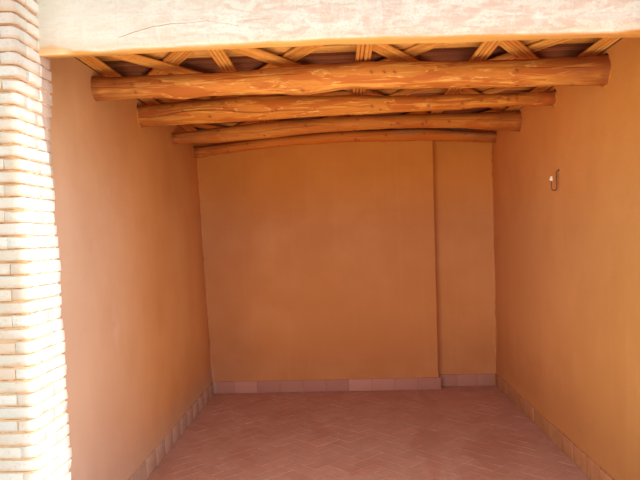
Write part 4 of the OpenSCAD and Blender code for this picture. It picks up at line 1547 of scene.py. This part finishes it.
# %% The herringbone floor
# For each kind of cell in which a brick starts: the brick's middle, in cells, and its turn
starts = {0: ((1, 0.5), 0), 3: ((0.5, 1), 90)}


def on_floor(spot):
    """Says if a brick at a spot reaches the floor."""
    return all(floor_low[axis] - cell < spot[axis] < floor_high[axis] + cell for axis in (0, 1))


bm = new_run()
brick = new_template(paving_brick)
slanted = Matrix.Rotation(math.radians(45), 4, "Z")
level = Matrix.Translation((0, 0, -floor_high.z))
reach = math.ceil((floor_high - floor_low).length / cell)
middle = (floor_low + floor_high) / 2
for column in range(-reach, reach):
    for row in range(-reach, reach):
        kind = (column - row) % 4
        if kind not in starts:
            continue
        (right, up), turned = starts[kind]
        spot = slanted @ Vector(((column + right) * cell, (row + up) * cell, 0))
        spot += Vector((middle.x, middle.y, 0))
        if on_floor(spot):
            tilted = math.radians(floor_seed.uniform(-0.35, 0.35))
            tilt = Matrix.Rotation(tilted, 4, Vector((1, floor_seed.uniform(-1, 1), 0)))
            askew = math.radians(45 + turned + floor_seed.uniform(-0.8, 0.8))
            spot.z = floor_high.z - floor_seed.uniform(0.0006, 0.0020)
            laid = Matrix.Translation(spot) @ tilt @ Matrix.Rotation(askew, 4, "Z") @ level
            add_copy(bm, brick, laid, floor_seed.random())
for point, normal in (
    ((floor_low.x, 0, 0), (-1, 0, 0)),
    ((floor_high.x, 0, 0), (1, 0, 0)),
    ((0, floor_low.y + 0.002, 0), (0, -1, 0)),
    ((0, floor_high.y, 0), (0, 1, 0)),
):
    whole = bm.verts[:] + bm.edges[:] + bm.faces[:]
    bmesh.ops.bisect_plane(bm, geom=whole, plane_co=point, plane_no=normal, clear_outer=True)
    bmesh.ops.holes_fill(bm, edges=open_edges(bm), sides=0)
keep_within(bm, z=(0, floor_high.z))
finish_piece(bm, "floor_bricks", "floor_brick", floor_brick, "floor_paving", sharp=35)

# %% [markdown]
# Between the bricks lies sand, trodden in and swept about. A dark gap would look like a tiled
# floor without its grout. One slab with soft waves fills all the joints, a little lower than the
# bricks and fuller towards the back, where it has drifted.

# %% The sand in the joints
bm = bmesh.new()
sand_deep, sand_step, drift = 0.0028, 0.06, 0.0011
slab(bm, floor_low, (floor_high.x, floor_high.y, floor_high.z - sand_deep))
for axis in (0, 1):
    cut_evenly(bm, axis, floor_low[axis], floor_high[axis], sand_step)
filled = uneven(8, (0.3, 0.002), (0.08, 0.002))
for vert in bm.verts:
    if vert.co.z > floor_low.z + 0.01:
        drifted = within((vert.co.y - room_y - 1.2) / 1.5)
        vert.co.z = min(floor_high.z, vert.co.z + filled(vert.co) + drift * drifted)
finish_piece(bm, "floor_joints", "floor_brick", floor_sand, "floor_paving")

# %% [markdown]
# At the opening the floor ends in a row of bricks on edge, which keeps the herringbone from
# creeping out. It is one brick deep, and its end bricks fit between the piers. A long box with
# grooves would do from afar, but here too each brick stands and sinks by itself.

# %% The threshold
step_low, step_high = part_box("threshold")
step_count, step_joint, step_worn = 59, 0.006, 0.006
row_pitch = (step_high.x - step_low.x) / step_count


def edge_brick(bm):
    """A brick on edge, centred in X."""
    half = (row_pitch - step_joint) / 2
    slab(bm, (-half, step_low.y, step_low.z), (half, step_high.y - 0.002, step_high.z))
    round_off(bm, edges_above(bm, step_high.z - 1e-6, max), step_worn, 2)


bm = new_run()
brick = new_template(edge_brick)
for number in range(step_count):
    x = step_low.x + (number + 0.5) * row_pitch
    spot = Matrix.Translation((x, floor_seed.uniform(0, 0.004), -floor_seed.uniform(0, 0.003)))
    lean = Matrix.Rotation(math.radians(floor_seed.uniform(-0.5, 0.5)), 4, "Y")
    add_copy(bm, brick, spot @ lean, floor_seed.random())
roughen(bm, uneven(9, (0.04, 0.002)), sunk=0.0008)
keep_within(bm, x=(step_low.x, step_high.x), y=(step_low.y, math.inf), z=(0, step_high.z))
finish_piece(bm, "threshold_bricks", "floor_brick", floor_brick, "threshold")

bm = bmesh.new()
sunk_high = (step_high.x, step_high.y - 0.003, step_high.z - step_worn)
slab(bm, (step_low.x, step_low.y + step_worn, 0), sunk_high)
cut_evenly(bm, 0, step_low.x, step_high.x, 0.05)
roughen(bm, uneven(10, (0.05, 0.003)), sunk=0.001)
keep_within(bm, z=(0, step_high.z))
finish_piece(bm, "threshold_joints", "floor_brick", floor_sand, "threshold")

# %% [markdown]
# A skirting of tiles keeps the broom and the damp off the mud walls. The tiles are rose-brown
# along the back, grey with dust at the left and streaked orange at the right, where the wall has
# washed down over them. Three materials could do that. One is enough, because the places along
# X tell the walls apart.

# %% Finish: skirting tile
skirting_tile = new_finish("skirting_tile", 0.8)
rose = by_tone((0.36, 0.15, 0.11), (0.40, 0.17, 0.125), (0.45, 0.20, 0.15))
streaky = streaks((60, 60, 6), 0.4, 0.6, 3.0)
washed = blend(streaky, (0.40, 0.165, 0.065), (0.46, 0.20, 0.080))
grey = blend(streaky, (0.36, 0.205, 0.145), (0.41, 0.24, 0.175))
at_right = fade(at_x, right_foot - 0.06, right_foot - 0.02)
at_left = 1.0 - fade(at_x, left_foot + 0.02, left_foot + 0.06)
colour = blend(at_left * 0.85, blend(at_right * 0.85, rose, washed), grey)
show(colour, earth_relief(0.0005, 0.0008))
print("finish:", skirting_tile.name)

# %% [markdown]
# The tiles are as long as a brick and set with thin joints, five rows of them, one on each face
# of the room. A row could be one box with painted joints, but its top edge would be too straight.
# Each tile is a copy that leans a little, and a strip of fill stands behind the joints. The tiles
# are set on a flat wall first and then moved onto the real one, leaning or not.

# %% The tile skirting
tile_long, tile_thick, tile_joint, tile_worn = 0.220, 0.018, 0.003, 0.0035
tile_seed = random.Random(4)


def tile_row(name, along, face, outward):
    """A row of tiles along an axis, over a node's box. Face gives the wall's place at a height."""
    low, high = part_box(name)
    across, start, end = 1 - along, low[along], high[along]
    count = max(1, round((end - start) / (tile_long + tile_joint)))
    pitch = (end - start) / count
    # The tiles along Y are straighter, with fuller joints
    askew, fill_deep = (0.3, 0.0012) if along == 1 else (1, 0.0035)

    def tile(bm):
        half = Vector((tile_thick, tile_thick, 0)) / 2
        half[along] = (pitch - tile_joint) / 2
        slab(bm, Vector((0, 0, low.z)) - half, Vector((0, 0, high.z)) + half)
        round_off(bm, bm.edges[:], tile_worn, 2)

    bm = new_run()
    template = new_template(tile)
    for number in range(count):
        spot = Vector((0, 0, 0))
        spot[along] = start + (number + 0.5) * pitch
        spot[across] = outward * (tile_thick / 2 + tile_seed.uniform(-0.002, 0.0005))
        lean = Matrix.Rotation(math.radians(tile_seed.uniform(-0.7, 0.7) * askew), 4, "Z")
        add_copy(bm, template, Matrix.Translation(spot) @ lean, tile_seed.random())
    fill_low, fill_high = Vector((0, 0, low.z)), Vector((0, 0, high.z - 0.003))
    fill_low[along], fill_high[along] = start, end
    fill_faces = sorted((-outward * 0.004, outward * (tile_thick - fill_deep)))
    fill_low[across], fill_high[across] = fill_faces
    slab(bm, fill_low, fill_high)
    cut_evenly(bm, along, start, end, tile_long / 2)
    for vert in bm.verts:
        vert.co[across] += face(vert.co.z)
    roughen(bm, uneven(70 + len(name), (0.08, 0.0025)))
    finish_piece(bm, name + "_tiles", "skirting_tile", skirting_tile, name)


tile_row("left_skirting", 1, left_face, 1)
tile_row("right_skirting", 1, right_face, -1)
tile_row("back_skirting", 0, lambda z: lining_y, -1)
tile_row("step_skirting", 1, lambda z: step_x, 1)
tile_row("recess_skirting", 0, lambda z: recess_y, -1)

# %% [markdown]
# Outside, the side and back walls carry a rougher coat of mud with much straw, paler than the
# room, because the sun bleaches it. Rain has drawn darker runs under the top, and the foot is
# splashed. The roof has the same mud, greyer and with more cracks, and fine silt has gathered
# before the spout. One helper makes what the two have in common.

# %% Finish: outer mud coat and roof mud
crack_deep, silt_place = 0.003, (0, 1.74, 3.0)


def strawy(base, patch, width, straw, grain, waves):
    """The colour and the relief of mud with much straw in it."""
    bits, relief = (earth_relief(grain, waves, output) for output in ("Straw", "Height"))
    return blend(bits * 0.7, clouded(base, patch, width), straw), relief


parapet_mud = new_finish("parapet_mud", 0.93)
colour, relief = strawy(
    (0.60, 0.42, 0.26), (0.50, 0.33, 0.19), 0.8, (0.74, 0.60, 0.36), 0.0011, 0.003
)
runs = streaks((9, 9, 0.8), 0.5, 0.7, 3.0) * fade(at_z, 1.6, 3.1)
colour = blend(runs * 0.45, colour, (0.36, 0.22, 0.12))
crack = cracked(0.35, 0.003, 0.8)
colour = blend(crack, colour, (0.20, 0.11, 0.06))
show(dusted_up(colour, (0.42, 0.27, 0.16), 0.45, 0.7), relief - crack * crack_deep)

roof_mud = new_finish("roof_mud", 0.95)
colour, relief = strawy(
    (0.52, 0.37, 0.24), (0.42, 0.28, 0.17), 0.7, (0.68, 0.55, 0.34), 0.0012, 0.004
)
crack = cracked(0.22, 0.003, 0.9)
colour = blend(crack, colour, (0.20, 0.12, 0.07))
silt = 1.0 - fade(distance(place, silt_place), 0.1, 1.1)
colour = blend(silt * 0.6, colour, (0.36, 0.24, 0.15))
show(colour, relief - crack * crack_deep)
print("finishes:", parapet_mud.name, "and", roof_mud.name)

# %% [markdown]
# The three walls and their parapets were built up without a break, so they are one body with a
# plan like a U. The plan is drawn as a face and pulled up. Above the roof the wall is thinner,
# and its top is rounded by hand. The construction's own boxes give every corner, and the mud's
# waves go inwards only, so the building keeps its size.

# %% The outer walls
wall_low, wall_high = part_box("left_parapet")
half_wide, front_y, back_y = -wall_low.x, wall_low.y, wall_high.y
room_half, core_y = -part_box("left_plaster")[0].x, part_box("back_wall")[0].y
roof_low, roof_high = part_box("roof_topping")
top_z, ledge_z = wall_high.z, roof_high.z - 0.05
wall_step, wall_round, touching = 0.08, 0.03, 1e-4
plan = (
    (-half_wide, front_y), (-room_half, front_y), (-room_half, core_y), (room_half, core_y),
    (room_half, front_y), (half_wide, front_y), (half_wide, back_y), (-half_wide, back_y),
)


def at_back_corner(middle):
    """Says if an upright edge is an outer corner at the back."""
    return abs(middle.x) > half_wide - 0.01 and middle.y > back_y - 0.01


bm = bmesh.new()
pull_out(bm, [(x, y, 0) for x, y in plan], (0, 0, top_z))
cut_across(bm, 2, [ledge_z - 0.03, ledge_z])
for vert in bm.verts:
    if vert.co.z > ledge_z - touching:
        if abs(abs(vert.co.x) - room_half) < touching:
            vert.co.x = math.copysign(roof_high.x, vert.co.x)
        if abs(vert.co.y - core_y) < touching:
            vert.co.y = roof_high.y
round_off(bm, edges_along(bm, 2, at_back_corner), wall_round, 3)
round_off(bm, edges_above(bm, top_z - touching), top_round, 4)
cut_evenly(bm, 0, -half_wide, half_wide, wall_step)
cut_evenly(bm, 1, front_y, back_y, wall_step)
cut_evenly(bm, 2, 0, top_z - top_round, wall_step)
roughen(bm, uneven(12, (1.0, 0.014), (0.25, 0.007), (0.08, 0.002)), sunk=0.011)
keep_within(bm, x=(-half_wide, half_wide))
for vert in bm.verts:
    vert.co.z = vert.co.z if vert.co.z > 0.02 else 0
finish_piece(
    bm, "outer_walls", "parapet_mud", parapet_mud,
    "left_wall", "right_wall", "back_wall", "left_parapet", "right_parapet", "back_parapet",
)

# %% [markdown]
# The roof's skin of mud and straw is spread anew after every wet season. It dips towards the
# spout, so that the rain finds it, and is drawn up a little against the parapets. It could be
# sculpted. A sheet and a law are enough here, as on the walls, and the law says where the water
# goes.

# %% The roof skin
roof_front = parapet_high.y - 0.03
spout_x = sum(box.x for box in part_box("rain_spout")) / 2
spout_dip, dip_wide, drawn_up, seam_wide, skin_sunk = 0.022, 0.5, 0.03, 0.05, 0.006
bm = bmesh.new()
corner, along = (roof_low.x, roof_front, roof_high.z), (roof_high.x - roof_low.x, 0, 0)
sheet(bm, corner, along, (0, roof_high.y - roof_front, 0), 0.05)
waves = uneven(13, (0.9, 0.008), (0.2, 0.004))
for vert in bm.verts:
    to_spout = (Vector((spout_x, roof_high.y)) - vert.co.xy).length
    dip = spout_dip * math.exp(-(to_spout / dip_wide) ** 2)
    to_edge = min(roof_high.x - abs(vert.co.x), roof_high.y - vert.co.y, vert.co.y - roof_front)
    seam = drawn_up * math.exp(-(to_edge / seam_wide) ** 2)
    vert.co.z += waves(vert.co) - skin_sunk - dip + seam
back_up(bm, (0, 0, roof_low.z - roof_high.z))
finish_piece(bm, "roof_skin", "roof_mud", roof_mud, "roof_topping")

# %% [markdown]
# What is left has its right shape in the construction already: the wooden rain spout, the small
# iron hook with its pale knob, the stony bed under the floor and the earth under the roof's skin.
# New meshes would add nothing, so these five keep their own and only get a finish. Most are small
# or hidden, so their recipes are short.

# %% Finish: spout wood, iron, knob and bed
spout_wood = new_finish("spout_wood", 0.8)
streak, relief = (fibrous((70, 6, 70), 0.0015, output) for output in ("Streak", "Height"))
colour = blend(streak, (0.16, 0.10, 0.065), (0.36, 0.26, 0.18))
show(blend(mottle(0.15, 0.45, 0.65) * 0.5, colour, (0.10, 0.065, 0.04)), relief)

iron = new_finish("iron", 0.55)
shader.inputs["Metallic"].default_value = 0.7
rusty = mottle(0.008, 0.4, 0.6, 4.0)
show(blend(rusty, (0.08, 0.06, 0.05), (0.26, 0.10, 0.04)), rusty * 0.0003)

knob = new_finish("knob", 0.35)
aged = mottle(0.012, 0.45, 0.7, 3.0)
show(blend(aged * 0.4, (0.80, 0.70, 0.55), (0.52, 0.34, 0.20)))

floor_bed = new_finish("floor_bed", 0.95)
pebbly = mottle(0.03, 0.4, 0.6, 4.0)
show(blend(pebbly, (0.30, 0.21, 0.13), (0.44, 0.33, 0.22)), pebbly * 0.003)

for node, finish in (
    ("rain_spout", spout_wood), ("wall_hook", iron), ("hook_knob", knob),
    ("floor_bed", floor_bed), ("roof_earth", roof_mud),
):
    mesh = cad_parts[node].data
    mesh.materials.clear()
    mesh.materials.append(finish)
    print(f"{node}: {finish.name}")

# %% [markdown]
# The size of the finished model is worked out the same way as that of the construction, from the
# bounds of every object that is shown.

# %% Size of the finished model, and the end
low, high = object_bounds()
